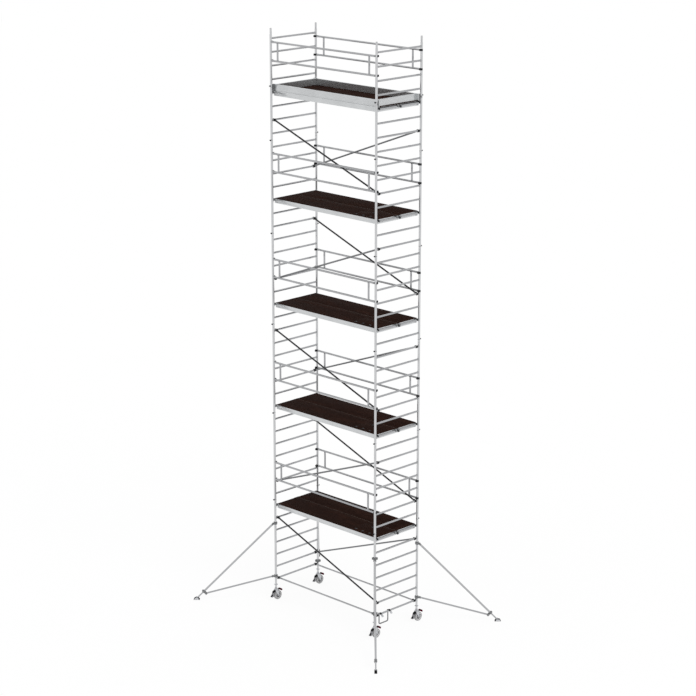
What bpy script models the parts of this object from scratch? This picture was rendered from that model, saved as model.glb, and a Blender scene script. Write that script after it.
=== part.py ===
"""Aluminium mobile tower scaffold: ladder frames, braces, platforms, guardrails, casters and outriggers.

Lengths are metres and +Z is up. +X runs along the platforms, from the left ladder end to the right one.
+Y runs along the rungs, from the front side to the back. The origin is on the ground below the middle.
"""
import math

import bmesh
import bpy
from mathutils import Matrix, Vector

# Overall layout
TOWER_LENGTH = 3.0
TOWER_WIDTH = 1.28
RUNG_PITCH = 0.28
FRAME_RUNGS = (7, 7, 7, 7, 7, 4, 4)
PLATFORM_RUNGS = (6, 14, 22, 30, 38)
DIAGONAL_RUNGS = ((5, 1), (8, 12), (20, 16), (24, 28), (36, 32))
FIT_GAP = 0.0003

# Ladder frames
POST_RADIUS = 0.025
POST_WALL = 0.0035
POST_ABOVE_RUNG = 0.08
SPIGOT_RISE = 0.125
SPIGOT_WALL = 0.0035
SPIGOT_ROOT = 0.06
RUNG_RADIUS = 0.02
POST_SIDES = 8
RUNG_SIDES = 6

# Braces
BRACE_RADIUS = 0.016
BRACE_INSET = 0.075
BRACE_CLAW_WALL = 0.01
BRACE_CLAW_WIDTH = 0.04

# Platforms
DECK_RISE = 0.045
DECK_THICKNESS = 0.024
DECK_POST_GAP = 0.025
DECK_RUNG_GAP = 0.002
PLATFORM_DEPTH = 0.1
SIDE_RAIL_WIDTH = 0.03
END_RAIL_WIDTH = 0.04
SEAM_WIDTH = 0.01
SEAM_DEPTH = 0.01
BEARER_WIDTH = 0.04
BEARER_DEPTH = 0.05
BEARER_PITCH = 0.85
HOOK_WIDTH = 0.05
HOOK_THICKNESS = 0.01
HOOK_DROP = 0.026
HOOK_INSET = 0.035

# Trapdoors
HATCH_LENGTH = 0.58
HATCH_WIDTH = 0.4
HATCH_THICKNESS = 0.012
HATCH_END_MARGIN = 0.176
HATCH_SIDE_MARGIN = 0.065
HATCH_LEDGE = 0.015
HATCH_GAP = 0.001

# Guardrails and toe boards
GUARD_RAIL_RADIUS = 0.0205
GUARD_UPRIGHT_RADIUS = 0.0195
FRONT_UPRIGHT_INSET = 0.2
BACK_UPRIGHT_INSET = 0.236
GUARD_RAIL_HEIGHTS = (0.608, 0.99)
TOP_RAIL_HEIGHTS = (0.664, 1.047)
GUARD_CLAW_WALL = 0.009
GUARD_CLAW_HEIGHT = 0.045
TOE_HEIGHT = 0.14
TOE_THICKNESS = 0.025
TOE_SIDE_INSET = 0.008
TOE_END_INSET = 0.036
TOE_END_REACH = 0.058

# Casters
WHEEL_RADIUS = 0.1
HUB_WIDTH = 0.056
HUB_RADIUS = 0.028
WEB_WIDTH = 0.022
RIM_RADIUS = 0.07
TYRE_WIDTH = 0.05
TREAD_WIDTH = 0.034
TREAD_ROUND = 0.006
AXLE_RADIUS = 0.008
CASTER_TRAIL = 0.05
FORK_PLATE = 0.006
FORK_LEG_WIDTH = 0.04
FORK_TOP_WIDTH = 0.08
CROWN_CLEARANCE = 0.032
CROWN_THICKNESS = 0.012
SWIVEL_HEIGHT = 0.014
SWIVEL_RADIUS = 0.032
KINGPIN_RADIUS = 0.012
KINGPIN_DEPTH = 0.012
FLANGE_THICKNESS = 0.005
LEG_INSERT = 0.4
NUT_RADIUS = 0.037
NUT_HEIGHT = 0.0314
NUT_LAP = 0.012
WHEEL_SIDES = 16
ROUND_SIDES = 12

# Rocker brakes, placed from the wheel's axle
BRAKE_PIN_RADIUS = 0.005
BRAKE_HUB_RADIUS = 0.01
BRAKE_PIN_BACK = 0.02
BRAKE_WIDTH = 0.04
BRAKE_ARM_THICKNESS = 0.012
BRAKE_NECK_REACH = 0.022
BRAKE_PAD_REACH = 0.09
BRAKE_PAD_LENGTH = 0.09
BRAKE_PAD_FALL = 0.047
BRAKE_PAD_THICKNESS = 0.032
BRAKE_KNEE_REACH = 0.1
BRAKE_KNEE_DROP = 0.02
BRAKE_KNEE_SIZE = 0.036
BRAKE_PEDAL_REACH = 0.165
BRAKE_PEDAL_DROP = 0.121
BRAKE_PEDAL_THICKNESS = 0.014

# Outriggers
OUTRIGGER_REACH = 1.735
OUTRIGGER_TOP_LIFT = 1.282
OUTRIGGER_LOW_LIFT = 0.06
OUTRIGGER_TUBE_RADIUS = 0.0215
OUTRIGGER_LEG_RADIUS = 0.0155
OUTRIGGER_STRUT_RADIUS = 0.018
LEG_EXPOSED = 0.2
LEG_OVERLAP = 0.45
LEG_TRAVEL = 0.12
COUPLER_WALL = 0.018
COUPLER_HEIGHT = 0.065
CLAMP_WALL = 0.009
CLAMP_LENGTH = 0.055
CLAMP_OFFSET = 0.065
FOOT_LENGTH = 0.13
FOOT_TOP_LENGTH = 0.08
FOOT_WIDTH = 0.06
FOOT_EDGE = 0.018
FOOT_HEIGHT = 0.05
FOOT_PIVOT_HEIGHT = 0.03

# Access step hung on the lowest rung
STEP_POST_DISTANCE = 0.174
STEP_WIDTH = 0.255
STEP_DROP = 0.2375
STEP_TUBE_RADIUS = 0.0125
STEP_HOOK_WIDTH = 0.034
STEP_HOOK_WALL = 0.009
STEP_TAIL_LENGTH = 0.1
STEP_TAIL_SLANT = 45.0

# Colours, as linear RGB with roughness and metallic value
ALUMINIUM = ((0.72, 0.72, 0.73), 0.35, 1.0)
PLATFORM_BROWN = ((0.03, 0.014, 0.01), 0.75, 0.0)
LID_BROWN = ((0.034, 0.016, 0.011), 0.75, 0.0)
TOE_GREY = ((0.6, 0.6, 0.61), 0.45, 1.0)
STEEL = ((0.55, 0.56, 0.57), 0.4, 1.0)
TYRE_GREY = ((0.42, 0.42, 0.42), 0.7, 0.0)
BRAKE_RED = ((0.16, 0.02, 0.02), 0.5, 0.0)

# Worked out from the driving dimensions
HALF_LENGTH = TOWER_LENGTH / 2
HALF_WIDTH = TOWER_WIDTH / 2
POST_BELOW_RUNG = RUNG_PITCH - POST_ABOVE_RUNG - FIT_GAP
BORE_RADIUS = POST_RADIUS - POST_WALL
SPIGOT_RADIUS = BORE_RADIUS - 2 * FIT_GAP
RUNG_FLAT = RUNG_RADIUS * math.cos(math.pi / RUNG_SIDES)
CROWN_BOTTOM = 2 * WHEEL_RADIUS + CROWN_CLEARANCE
SWIVEL_TOP = CROWN_BOTTOM + CROWN_THICKNESS + SWIVEL_HEIGHT
FLANGE_TOP = SWIVEL_TOP + FIT_GAP + FLANGE_THICKNESS
NUT_BOTTOM = FLANGE_TOP + FIT_GAP
FIRST_RUNG_HEIGHT = NUT_BOTTOM + NUT_HEIGHT + POST_BELOW_RUNG
DECK_HALF_LENGTH = HALF_LENGTH - RUNG_RADIUS - DECK_RUNG_GAP
DECK_HALF_WIDTH = HALF_WIDTH - POST_RADIUS - DECK_POST_GAP
HATCH_HIGH_X = DECK_HALF_LENGTH - HATCH_END_MARGIN
HATCH_LOW_Y = HATCH_SIDE_MARGIN - DECK_HALF_WIDTH
BRACE_OFFSET = HALF_WIDTH - BRACE_INSET
CORNERS = (("left_front", -1, -1), ("left_back", -1, 1), ("right_front", 1, -1), ("right_back", 1, 1))


def rung_height(rung):
    """Height of a rung's axis above the ground, counted from the lowest rung."""
    return FIRST_RUNG_HEIGHT + rung * RUNG_PITCH


def clear_radius(radius, sides):
    """Corner radius of a hole with this many sides in which a round of the given radius turns freely."""
    return (radius + FIT_GAP) / math.cos(math.pi / sides)


# Modelling helpers

def clear_scene():
    """Remove everything that the file holds."""
    for obj in list(bpy.data.objects):
        bpy.data.objects.remove(obj, do_unlink=True)


def along(start, end, up=(0, 0, 1)):
    """Matrix whose Z runs from start towards end, whose X leans to up and whose origin is start."""
    axis_z = (Vector(end) - Vector(start)).normalized()
    axis_y = axis_z.cross(Vector(up)).normalized()
    axis_x = axis_y.cross(axis_z)
    turn = Matrix((axis_x, axis_y, axis_z)).transposed().to_4x4()
    return Matrix.Translation(Vector(start)) @ turn


def add_turned(bm, profile, sides, place=None, ring=False):
    """Turn a profile of (radius, height) points about Z; a ring's profile is closed, others get end caps.

    A flat of the turned shape faces local +X.
    """
    turned = bmesh.new()
    points = [turned.verts.new((radius, 0, height)) for radius, height in profile]
    edges = [turned.edges.new(pair) for pair in zip(points, points[1:])]
    if ring:
        edges.append(turned.edges.new((points[-1], points[0])))
    bmesh.ops.rotate(turned, verts=points, matrix=Matrix.Rotation(math.pi / sides, 3, "Z"))
    bmesh.ops.spin(turned, geom=points + edges, axis=(0, 0, 1), cent=(0, 0, 0), angle=2 * math.pi,
                   steps=sides, use_merge=True)
    if not ring:
        rims = [edge for edge in turned.edges if edge.is_boundary]
        bmesh.ops.holes_fill(turned, edges=rims, sides=0)
    merge_into(bm, turned, place)


def add_rod(bm, start, end, radius, sides=RUNG_SIDES, up=(0, 0, 1)):
    """Add a solid rod from start to end, with a flat facing up."""
    length = (Vector(end) - Vector(start)).length
    add_turned(bm, ((radius, 0), (radius, length)), sides, along(start, end, up))


def add_box(bm, low, high, place=None):
    """Add a box between two corners."""
    low, high = Vector(low), Vector(high)
    box = bmesh.new()
    size = Matrix.Diagonal((*(high - low), 1))
    bmesh.ops.create_cube(box, size=1, matrix=Matrix.Translation((low + high) / 2) @ size)
    merge_into(bm, box, place)


def add_plate(bm, outline, thickness, place=None):
    """Extrude a flat outline of (y, z) points along X, half of the thickness each way."""
    plate = bmesh.new()
    face = plate.faces.new([plate.verts.new((-thickness / 2, y, z)) for y, z in outline])
    grown = bmesh.ops.extrude_face_region(plate, geom=[face])["geom"]
    moved = [item for item in grown if isinstance(item, bmesh.types.BMVert)]
    bmesh.ops.translate(plate, verts=moved, vec=(thickness, 0, 0))
    merge_into(bm, plate, place)


def merge_into(bm, other, place):
    """Copy one closed shape into bm, moved by a matrix, with its faces pointing out."""
    if place is not None:
        bmesh.ops.transform(other, matrix=place, verts=other.verts)
    bmesh.ops.recalc_face_normals(other, faces=other.faces)
    shape = bpy.data.meshes.new("shape")
    other.to_mesh(shape)
    other.free()
    bm.from_mesh(shape)
    bpy.data.meshes.remove(shape)


def mesh_object(name, bm):
    """Turn a bmesh into a linked object and free it."""
    mesh = bpy.data.meshes.new(name)
    bm.to_mesh(mesh)
    bm.free()
    obj = bpy.data.objects.new(name, mesh)
    bpy.context.scene.collection.objects.link(obj)
    return obj


def join(shape):
    """Step of make_part that unites a shape with the piece."""
    return "UNION", shape


def cut(shape):
    """Step of make_part that takes a shape away from the piece."""
    return "DIFFERENCE", shape


def make_part(name, look, base, *steps, pivot=(0, 0, 0)):
    """Make one piece from a base shape and its join and cut steps, with its origin on the pivot."""
    obj = mesh_object(name, base)
    tools = []
    for operation, shape in steps:
        tool = mesh_object(name + "_tool", shape)
        modifier = obj.modifiers.new(operation.lower(), "BOOLEAN")
        modifier.operation = operation
        modifier.solver = "EXACT"
        modifier.object = tool
        tools.append(tool)
    bpy.context.view_layer.update()
    evaluated = obj.evaluated_get(bpy.context.evaluated_depsgraph_get())
    mesh = bpy.data.meshes.new_from_object(evaluated)
    obj.modifiers.clear()
    obj.data = mesh
    mesh.name = name
    for tool in tools:
        bpy.data.objects.remove(tool, do_unlink=True)
    mesh.transform(Matrix.Translation(-Vector(pivot)))
    obj.location = pivot
    mesh.shade_smooth()
    mesh.set_sharp_from_angle(angle=math.radians(65))
    mesh.materials.clear()
    mesh.materials.append(make_material(name, look))
    return obj


def make_material(name, look):
    """Plain Principled material of one piece."""
    colour, roughness, metallic = look
    material = bpy.data.materials.new(name)
    material.use_nodes = True
    shader = material.node_tree.nodes["Principled BSDF"]
    shader.inputs["Base Color"].default_value = (*colour, 1)
    shader.inputs["Roughness"].default_value = roughness
    shader.inputs["Metallic"].default_value = metallic
    return material


# Ladder frames with their braces

def frame_rungs(index):
    """First and last rung of a frame, counted from the lowest rung of the tower."""
    first = sum(FRAME_RUNGS[:index])
    return first, first + FRAME_RUNGS[index] - 1


def brace_ends(side, index):
    """Braces held by one frame, as (start, end) pairs: start is on that frame, end on the opposite one."""
    first, last = frame_rungs(index)
    ends = []
    if first == 0:
        ends.append((0, 0))
    ends += [(near, far) for near, far in DIAGONAL_RUNGS if first <= near <= last]
    return [((side * HALF_LENGTH, side * BRACE_OFFSET, rung_height(near)),
             (-side * HALF_LENGTH, side * BRACE_OFFSET, rung_height(far))) for near, far in ends]


def make_frame(end_name, side, index):
    """One ladder frame; the left ones hold the front braces and the right ones the back braces."""
    first, last = frame_rungs(index)
    bottom = rung_height(first) - POST_BELOW_RUNG
    top = rung_height(last) + POST_ABOVE_RUNG
    posts = bmesh.new()
    bores = bmesh.new()
    for across in (-HALF_WIDTH, HALF_WIDTH):
        foot = Matrix.Translation((side * HALF_LENGTH, across, 0))
        post = [(POST_RADIUS, bottom), (POST_RADIUS, top), (SPIGOT_RADIUS, top),
                (SPIGOT_RADIUS, top + SPIGOT_RISE)]
        bore_start = bottom
        if index == 0:
            nut_top = bottom + NUT_LAP
            post[:1] = [(NUT_RADIUS, NUT_BOTTOM), (NUT_RADIUS, nut_top), (POST_RADIUS, nut_top)]
            bore_start = NUT_BOTTOM
        add_turned(posts, post, POST_SIDES, foot)
        bore = ((BORE_RADIUS, bore_start - FIT_GAP), (BORE_RADIUS, top - SPIGOT_ROOT),
                (SPIGOT_RADIUS - SPIGOT_WALL, top - SPIGOT_ROOT),
                (SPIGOT_RADIUS - SPIGOT_WALL, top + SPIGOT_RISE + FIT_GAP))
        add_turned(bores, bore, POST_SIDES, foot)
    rungs = bmesh.new()
    for rung in range(first, last + 1):
        height = rung_height(rung)
        add_rod(rungs, (side * HALF_LENGTH, -HALF_WIDTH, height), (side * HALF_LENGTH, HALF_WIDTH, height),
                RUNG_RADIUS)
    steps = [join(rungs), cut(bores)]
    braces = brace_ends(side, index)
    if braces:
        steps += brace_steps(braces)
    make_part(f"{end_name}_frame_{index + 1}", ALUMINIUM, posts, *steps)


def brace_steps(braces):
    """Join brace tubes with a claw at each end, and clear the far claws from the rungs that they hold."""
    tubes = bmesh.new()
    claws = bmesh.new()
    far_rungs = bmesh.new()
    hole = clear_radius(RUNG_RADIUS, RUNG_SIDES)
    reach = Vector((0, BRACE_CLAW_WIDTH / 2, 0))
    for start, end in braces:
        add_rod(tubes, start, end, BRACE_RADIUS)
        for point in (Vector(start), Vector(end)):
            add_rod(claws, point - reach, point + reach, hole + BRACE_CLAW_WALL)
        add_rod(far_rungs, Vector(end) - 2 * reach, Vector(end) + 2 * reach, hole)
    return [join(tubes), join(claws), cut(far_rungs)]


# Platforms and trapdoors

def hatch_box(grow, bottom, top):
    """Corners of the trapdoor's outline, grown all round, between two heights."""
    low = (HATCH_HIGH_X - HATCH_LENGTH - grow, HATCH_LOW_Y - grow, bottom)
    high = (HATCH_HIGH_X + grow, HATCH_LOW_Y + HATCH_WIDTH + grow, top)
    return low, high


def hook_places():
    """Middles of the platform hooks along Y: two on each of the two units."""
    inner = SEAM_WIDTH / 2 + HOOK_INSET
    outer = DECK_HALF_WIDTH - HOOK_INSET
    return (-outer, -inner, inner, outer)


def make_platform(level, rung):
    """The pair of platforms of one level, joined along their seam."""
    axis = rung_height(rung)
    top = axis + DECK_RISE
    bottom = top - PLATFORM_DEPTH
    deck_low = top - DECK_THICKNESS
    body = bmesh.new()
    add_box(body, (-DECK_HALF_LENGTH, -DECK_HALF_WIDTH, bottom), (DECK_HALF_LENGTH, DECK_HALF_WIDTH, top))
    hooks = bmesh.new()
    tip = HALF_LENGTH + RUNG_RADIUS + DECK_RUNG_GAP
    seat = axis + RUNG_FLAT + FIT_GAP
    hook = ((DECK_HALF_LENGTH - END_RAIL_WIDTH / 2, seat), (tip, seat), (tip, seat - HOOK_DROP),
            (tip + HOOK_THICKNESS, seat - HOOK_DROP), (tip + HOOK_THICKNESS, seat + HOOK_THICKNESS),
            (DECK_HALF_LENGTH - END_RAIL_WIDTH / 2, seat + HOOK_THICKNESS))
    for across in hook_places():
        for quarter in (-1, 1):
            place = Matrix.Translation((0, across, 0)) @ Matrix.Rotation(quarter * math.pi / 2, 4, "Z")
            add_plate(hooks, hook, HOOK_WIDTH, place)
    seam = bmesh.new()
    add_box(seam, (-TOWER_LENGTH, -SEAM_WIDTH / 2, top - SEAM_DEPTH),
            (TOWER_LENGTH, SEAM_WIDTH / 2, top + DECK_RISE))
    hollows = bmesh.new()
    inner_x = DECK_HALF_LENGTH - END_RAIL_WIDTH
    for side in (-1, 1):
        low_y, high_y = sorted((side * (SEAM_WIDTH / 2 + SIDE_RAIL_WIDTH),
                                side * (DECK_HALF_WIDTH - SIDE_RAIL_WIDTH)))
        add_box(hollows, (-inner_x, low_y, bottom - DECK_RISE), (inner_x, high_y, deck_low))
    bearers = bmesh.new()
    bearer_half = DECK_HALF_WIDTH - SIDE_RAIL_WIDTH / 2
    for along_x in (-BEARER_PITCH, 0):
        add_box(bearers, (along_x - BEARER_WIDTH / 2, -bearer_half, deck_low - BEARER_DEPTH),
                (along_x + BEARER_WIDTH / 2, bearer_half, top - DECK_THICKNESS / 2))
    pocket = bmesh.new()
    add_box(pocket, *hatch_box(HATCH_GAP, top - HATCH_THICKNESS - FIT_GAP, top + DECK_RISE))
    hole = bmesh.new()
    add_box(hole, *hatch_box(-HATCH_LEDGE, bottom - DECK_RISE, top + DECK_RISE))
    make_part(f"platform_level_{level}", PLATFORM_BROWN, body, join(hooks), cut(hollows), cut(seam),
              join(bearers), cut(pocket), cut(hole))


def make_hatch(level, rung):
    """Trapdoor lid in the front platform, hinged along its front edge at deck height."""
    top = rung_height(rung) + DECK_RISE
    lid = bmesh.new()
    add_box(lid, *hatch_box(0, top - HATCH_THICKNESS, top))
    pivot = (HATCH_HIGH_X - HATCH_LENGTH / 2, HATCH_LOW_Y, top)
    make_part(f"hatch_level_{level}", LID_BROWN, lid, pivot=pivot)


# Guardrails and toe boards

def make_guardrail(name, side, rung, heights):
    """Two rails and two uprights in the plane of the posts, with claws on the posts."""
    across = side * HALF_WIDTH
    levels = [rung_height(rung) + height for height in heights]
    claw_reach = POST_RADIUS + GUARD_CLAW_WALL
    rails = bmesh.new()
    claws = bmesh.new()
    for height in levels:
        half = HALF_LENGTH - POST_RADIUS - GUARD_CLAW_WALL / 2
        add_rod(rails, (-half, across, height), (half, across, height), GUARD_RAIL_RADIUS)
        for end in (-1, 1):
            inner, outer = sorted((end * (HALF_LENGTH - claw_reach), end * HALF_LENGTH))
            add_box(claws, (inner, across - claw_reach, height - GUARD_CLAW_HEIGHT / 2),
                    (outer, across + claw_reach, height + GUARD_CLAW_HEIGHT / 2))
    uprights = bmesh.new()
    posts = bmesh.new()
    inset = FRONT_UPRIGHT_INSET if side < 0 else BACK_UPRIGHT_INSET
    for end in (-1, 1):
        upright = end * (HALF_LENGTH - inset)
        add_rod(uprights, (upright, across, levels[0]), (upright, across, levels[1]), GUARD_UPRIGHT_RADIUS,
                up=(1, 0, 0))
        add_rod(posts, (end * HALF_LENGTH, across, levels[0] - GUARD_CLAW_HEIGHT),
                (end * HALF_LENGTH, across, levels[1] + GUARD_CLAW_HEIGHT), POST_RADIUS + 2 * FIT_GAP,
                POST_SIDES, up=(1, 0, 0))
    make_part(name, ALUMINIUM, rails, join(claws), join(uprights), cut(posts))


def make_toe_boards():
    """Ring of four toe boards on the top deck; the long ones reach past the end ones."""
    bottom = rung_height(PLATFORM_RUNGS[-1]) + DECK_RISE + FIT_GAP
    half_x = DECK_HALF_LENGTH - TOE_END_INSET
    half_y = DECK_HALF_WIDTH - TOE_SIDE_INSET
    long_x = half_x + TOE_END_REACH
    boards = bmesh.new()
    add_box(boards, (-long_x, -half_y, bottom), (long_x, half_y, bottom + TOE_HEIGHT))
    space = bmesh.new()
    inner_x = half_x - TOE_THICKNESS
    inner_y = half_y - TOE_THICKNESS
    low = bottom - TOE_HEIGHT
    high = bottom + 2 * TOE_HEIGHT
    add_box(space, (-inner_x, -inner_y, low), (inner_x, inner_y, high))
    add_box(space, (-2 * long_x, -inner_y, low), (-half_x, inner_y, high))
    add_box(space, (half_x, -inner_y, low), (2 * long_x, inner_y, high))
    make_part("toe_boards", TOE_GREY, boards, cut(space))


# Casters

def make_caster(corner, side_x, side_y):
    """Threaded leg, swivelling fork, wheel and rocker brake of one corner."""
    spot = Matrix.Translation((side_x * HALF_LENGTH, side_y * HALF_WIDTH, 0))
    pivot = spot.translation
    axle = pivot + Vector((0, CASTER_TRAIL, WHEEL_RADIUS))
    make_caster_leg(corner, spot)
    make_fork(corner, spot, axle)
    make_wheel(corner, axle)
    make_brake(corner, axle)


def make_caster_leg(corner, spot):
    """Leg that slides in the post, with the flange and king pin that carry the fork."""
    leg = bmesh.new()
    flange = SWIVEL_TOP + FIT_GAP
    radius = BORE_RADIUS - 2 * FIT_GAP
    add_turned(leg, ((KINGPIN_RADIUS, SWIVEL_TOP - KINGPIN_DEPTH), (KINGPIN_RADIUS, flange),
                     (SWIVEL_RADIUS, flange), (SWIVEL_RADIUS, FLANGE_TOP), (radius, FLANGE_TOP),
                     (radius, FLANGE_TOP + LEG_INSERT)), POST_SIDES, spot)
    make_part(f"caster_leg_{corner}", STEEL, leg, pivot=spot.translation + Vector((0, 0, FLANGE_TOP)))


def make_fork(corner, spot, axle):
    """Swivel head, crown, two side plates, axle and brake pin."""
    half = HUB_WIDTH / 2 + FIT_GAP
    plate_middle = half + FORK_PLATE / 2
    low = WHEEL_RADIUS - FORK_LEG_WIDTH / 2
    outline = ((CASTER_TRAIL - FORK_LEG_WIDTH / 2, low), (CASTER_TRAIL + FORK_LEG_WIDTH / 2, low),
               (CASTER_TRAIL + FORK_LEG_WIDTH / 2, WHEEL_RADIUS),
               (FORK_TOP_WIDTH / 2, CROWN_BOTTOM + CROWN_THICKNESS / 2),
               (-FORK_TOP_WIDTH / 2, CROWN_BOTTOM + CROWN_THICKNESS / 2),
               (CASTER_TRAIL - FORK_LEG_WIDTH / 2, WHEEL_RADIUS))
    plates = bmesh.new()
    for side in (-1, 1):
        add_plate(plates, outline, FORK_PLATE, spot @ Matrix.Translation((side * plate_middle, 0, 0)))
    crown = bmesh.new()
    width = half + FORK_PLATE
    add_box(crown, (-width, -FORK_TOP_WIDTH / 2, CROWN_BOTTOM),
            (width, FORK_TOP_WIDTH / 2, CROWN_BOTTOM + CROWN_THICKNESS), spot)
    head = bmesh.new()
    add_turned(head, ((SWIVEL_RADIUS, CROWN_BOTTOM + CROWN_THICKNESS / 2), (SWIVEL_RADIUS, SWIVEL_TOP)),
               ROUND_SIDES, spot)
    pins = bmesh.new()
    brake = brake_pin(axle)
    for point, radius in ((axle, AXLE_RADIUS), (brake, BRAKE_PIN_RADIUS)):
        reach = Vector((half + FORK_PLATE / 2, 0, 0))
        add_rod(pins, point - reach, point + reach, radius, ROUND_SIDES)
    socket = bmesh.new()
    kingpin = clear_radius(KINGPIN_RADIUS, ROUND_SIDES)
    add_turned(socket, ((kingpin, SWIVEL_TOP - KINGPIN_DEPTH - FIT_GAP), (kingpin, SWIVEL_TOP + FIT_GAP)),
               ROUND_SIDES, spot)
    make_part(f"caster_fork_{corner}", STEEL, crown, join(plates), join(head), join(pins), cut(socket),
              pivot=spot.translation + Vector((0, 0, SWIVEL_TOP)))


def make_wheel(corner, axle):
    """Wheel turned about its axle, standing on a flat of its tread."""
    bore = clear_radius(AXLE_RADIUS, WHEEL_SIDES)
    tread = WHEEL_RADIUS / math.cos(math.pi / WHEEL_SIDES)
    half = ((bore, HUB_WIDTH / 2), (HUB_RADIUS, HUB_WIDTH / 2), (HUB_RADIUS, WEB_WIDTH / 2),
            (RIM_RADIUS, WEB_WIDTH / 2), (RIM_RADIUS, TYRE_WIDTH / 2), (tread - TREAD_ROUND, TYRE_WIDTH / 2),
            (tread, TREAD_WIDTH / 2))
    profile = list(half) + [(radius, -offset) for radius, offset in reversed(half)]
    wheel = bmesh.new()
    add_turned(wheel, profile, WHEEL_SIDES, along(axle, axle + Vector((1, 0, 0)), (0, 0, -1)), ring=True)
    make_part(f"caster_wheel_{corner}", TYRE_GREY, wheel, pivot=axle)


def brake_pin(axle):
    """Middle of the rocker brake's pin, between the wheel and the crown."""
    return axle + Vector((0, -BRAKE_PIN_BACK, WHEEL_RADIUS + CROWN_CLEARANCE / 2))


def make_brake(corner, axle):
    """Rocker brake: release pad towards +Y, pedal reaching down in front of the wheel."""
    pin = brake_pin(axle)
    arm = BRAKE_ARM_THICKNESS / 2
    pad = BRAKE_PAD_THICKNESS / 2
    pad_start = BRAKE_PAD_REACH - BRAKE_PAD_LENGTH / 2
    pad_end = BRAKE_PAD_REACH + BRAKE_PAD_LENGTH / 2
    fall = BRAKE_PAD_FALL / 2
    knee = BRAKE_KNEE_SIZE / 2
    tip = BRAKE_PEDAL_THICKNESS / 2
    outline = ((pad_end, -fall + pad), (pad_start, fall + pad), (BRAKE_NECK_REACH, arm), (0, arm),
               (-BRAKE_KNEE_REACH, -BRAKE_KNEE_DROP + knee), (-BRAKE_KNEE_REACH - knee, -BRAKE_KNEE_DROP),
               (-BRAKE_PEDAL_REACH - tip, -BRAKE_PEDAL_DROP), (-BRAKE_PEDAL_REACH + tip, -BRAKE_PEDAL_DROP),
               (-BRAKE_KNEE_REACH, -BRAKE_KNEE_DROP - knee), (0, -arm), (pad_start, fall - pad),
               (pad_end, -fall - pad))
    rocker = bmesh.new()
    add_plate(rocker, outline, BRAKE_WIDTH, Matrix.Translation(pin))
    hub = bmesh.new()
    reach = Vector((BRAKE_WIDTH / 2, 0, 0))
    add_rod(hub, pin - reach, pin + reach, BRAKE_HUB_RADIUS, ROUND_SIDES)
    bore = bmesh.new()
    add_rod(bore, pin - 2 * reach, pin + 2 * reach, clear_radius(BRAKE_PIN_RADIUS, ROUND_SIDES), ROUND_SIDES)
    make_part(f"caster_brake_{corner}", BRAKE_RED, rocker, join(hub), cut(bore), pivot=pin)


# Outriggers

def outrigger_line():
    """Top and foot ends of the main strut in the strut's own plane, and its unit direction down."""
    top = Vector((POST_RADIUS + COUPLER_WALL / 2, 0, FIRST_RUNG_HEIGHT + OUTRIGGER_TOP_LIFT))
    foot = Vector((OUTRIGGER_REACH, 0, FOOT_PIVOT_HEIGHT))
    return top, foot, (foot - top).normalized()


def make_outrigger(corner, side_x, side_y):
    """Arm that turns about the post and the telescopic leg with its foot."""
    turn = Matrix.Rotation(math.atan2(side_y, side_x), 4, "Z")
    place = Matrix.Translation((side_x * HALF_LENGTH, side_y * HALF_WIDTH, 0)) @ turn
    top, foot, down = outrigger_line()
    tube_end = foot - down * LEG_EXPOSED
    make_outrigger_arm(corner, place, top, tube_end, down)
    make_outrigger_leg(corner, place, foot, tube_end, down)


def make_outrigger_arm(corner, place, top, tube_end, down):
    """Two couplers round the post, the outer tube, its end clamp and the strut that ties that to the post."""
    low = Vector((top.x, 0, FIRST_RUNG_HEIGHT + OUTRIGGER_LOW_LIFT))
    hole = clear_radius(POST_RADIUS, ROUND_SIDES)
    couplers = bmesh.new()
    holes = bmesh.new()
    for point in (top, low):
        spot = place @ Matrix.Translation((0, 0, point.z))
        reach = COUPLER_HEIGHT / 2
        add_turned(couplers, ((hole + COUPLER_WALL, -reach), (hole + COUPLER_WALL, reach)), ROUND_SIDES, spot)
        add_turned(holes, ((hole, -2 * reach), (hole, 2 * reach)), ROUND_SIDES, spot)
    tube = bmesh.new()
    add_rod(tube, place @ top, place @ tube_end, OUTRIGGER_TUBE_RADIUS, POST_SIDES)
    clamp = bmesh.new()
    clamp_half = OUTRIGGER_TUBE_RADIUS + CLAMP_WALL
    clamp_start = tube_end - down * CLAMP_LENGTH
    add_box(clamp, (-CLAMP_OFFSET - OUTRIGGER_STRUT_RADIUS - CLAMP_WALL, -clamp_half, 0),
            (clamp_half, clamp_half, CLAMP_LENGTH + FIT_GAP), along(place @ clamp_start, place @ tube_end))
    inward = Vector((down.z, 0, -down.x))
    strut = bmesh.new()
    strut_end = tube_end - down * CLAMP_LENGTH / 2 + inward * CLAMP_OFFSET
    add_rod(strut, place @ low, place @ strut_end, OUTRIGGER_STRUT_RADIUS)
    bore = bmesh.new()
    depth = LEG_OVERLAP + LEG_TRAVEL + FOOT_HEIGHT
    add_rod(bore, place @ (tube_end - down * depth), place @ (tube_end + down * CLAMP_LENGTH),
            OUTRIGGER_LEG_RADIUS + 2 * FIT_GAP, POST_SIDES)
    pivot = place @ Vector((0, 0, low.z))
    make_part(f"outrigger_arm_{corner}", ALUMINIUM, couplers, join(tube), join(clamp), join(strut),
              cut(bore), cut(holes), pivot=pivot)


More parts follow.
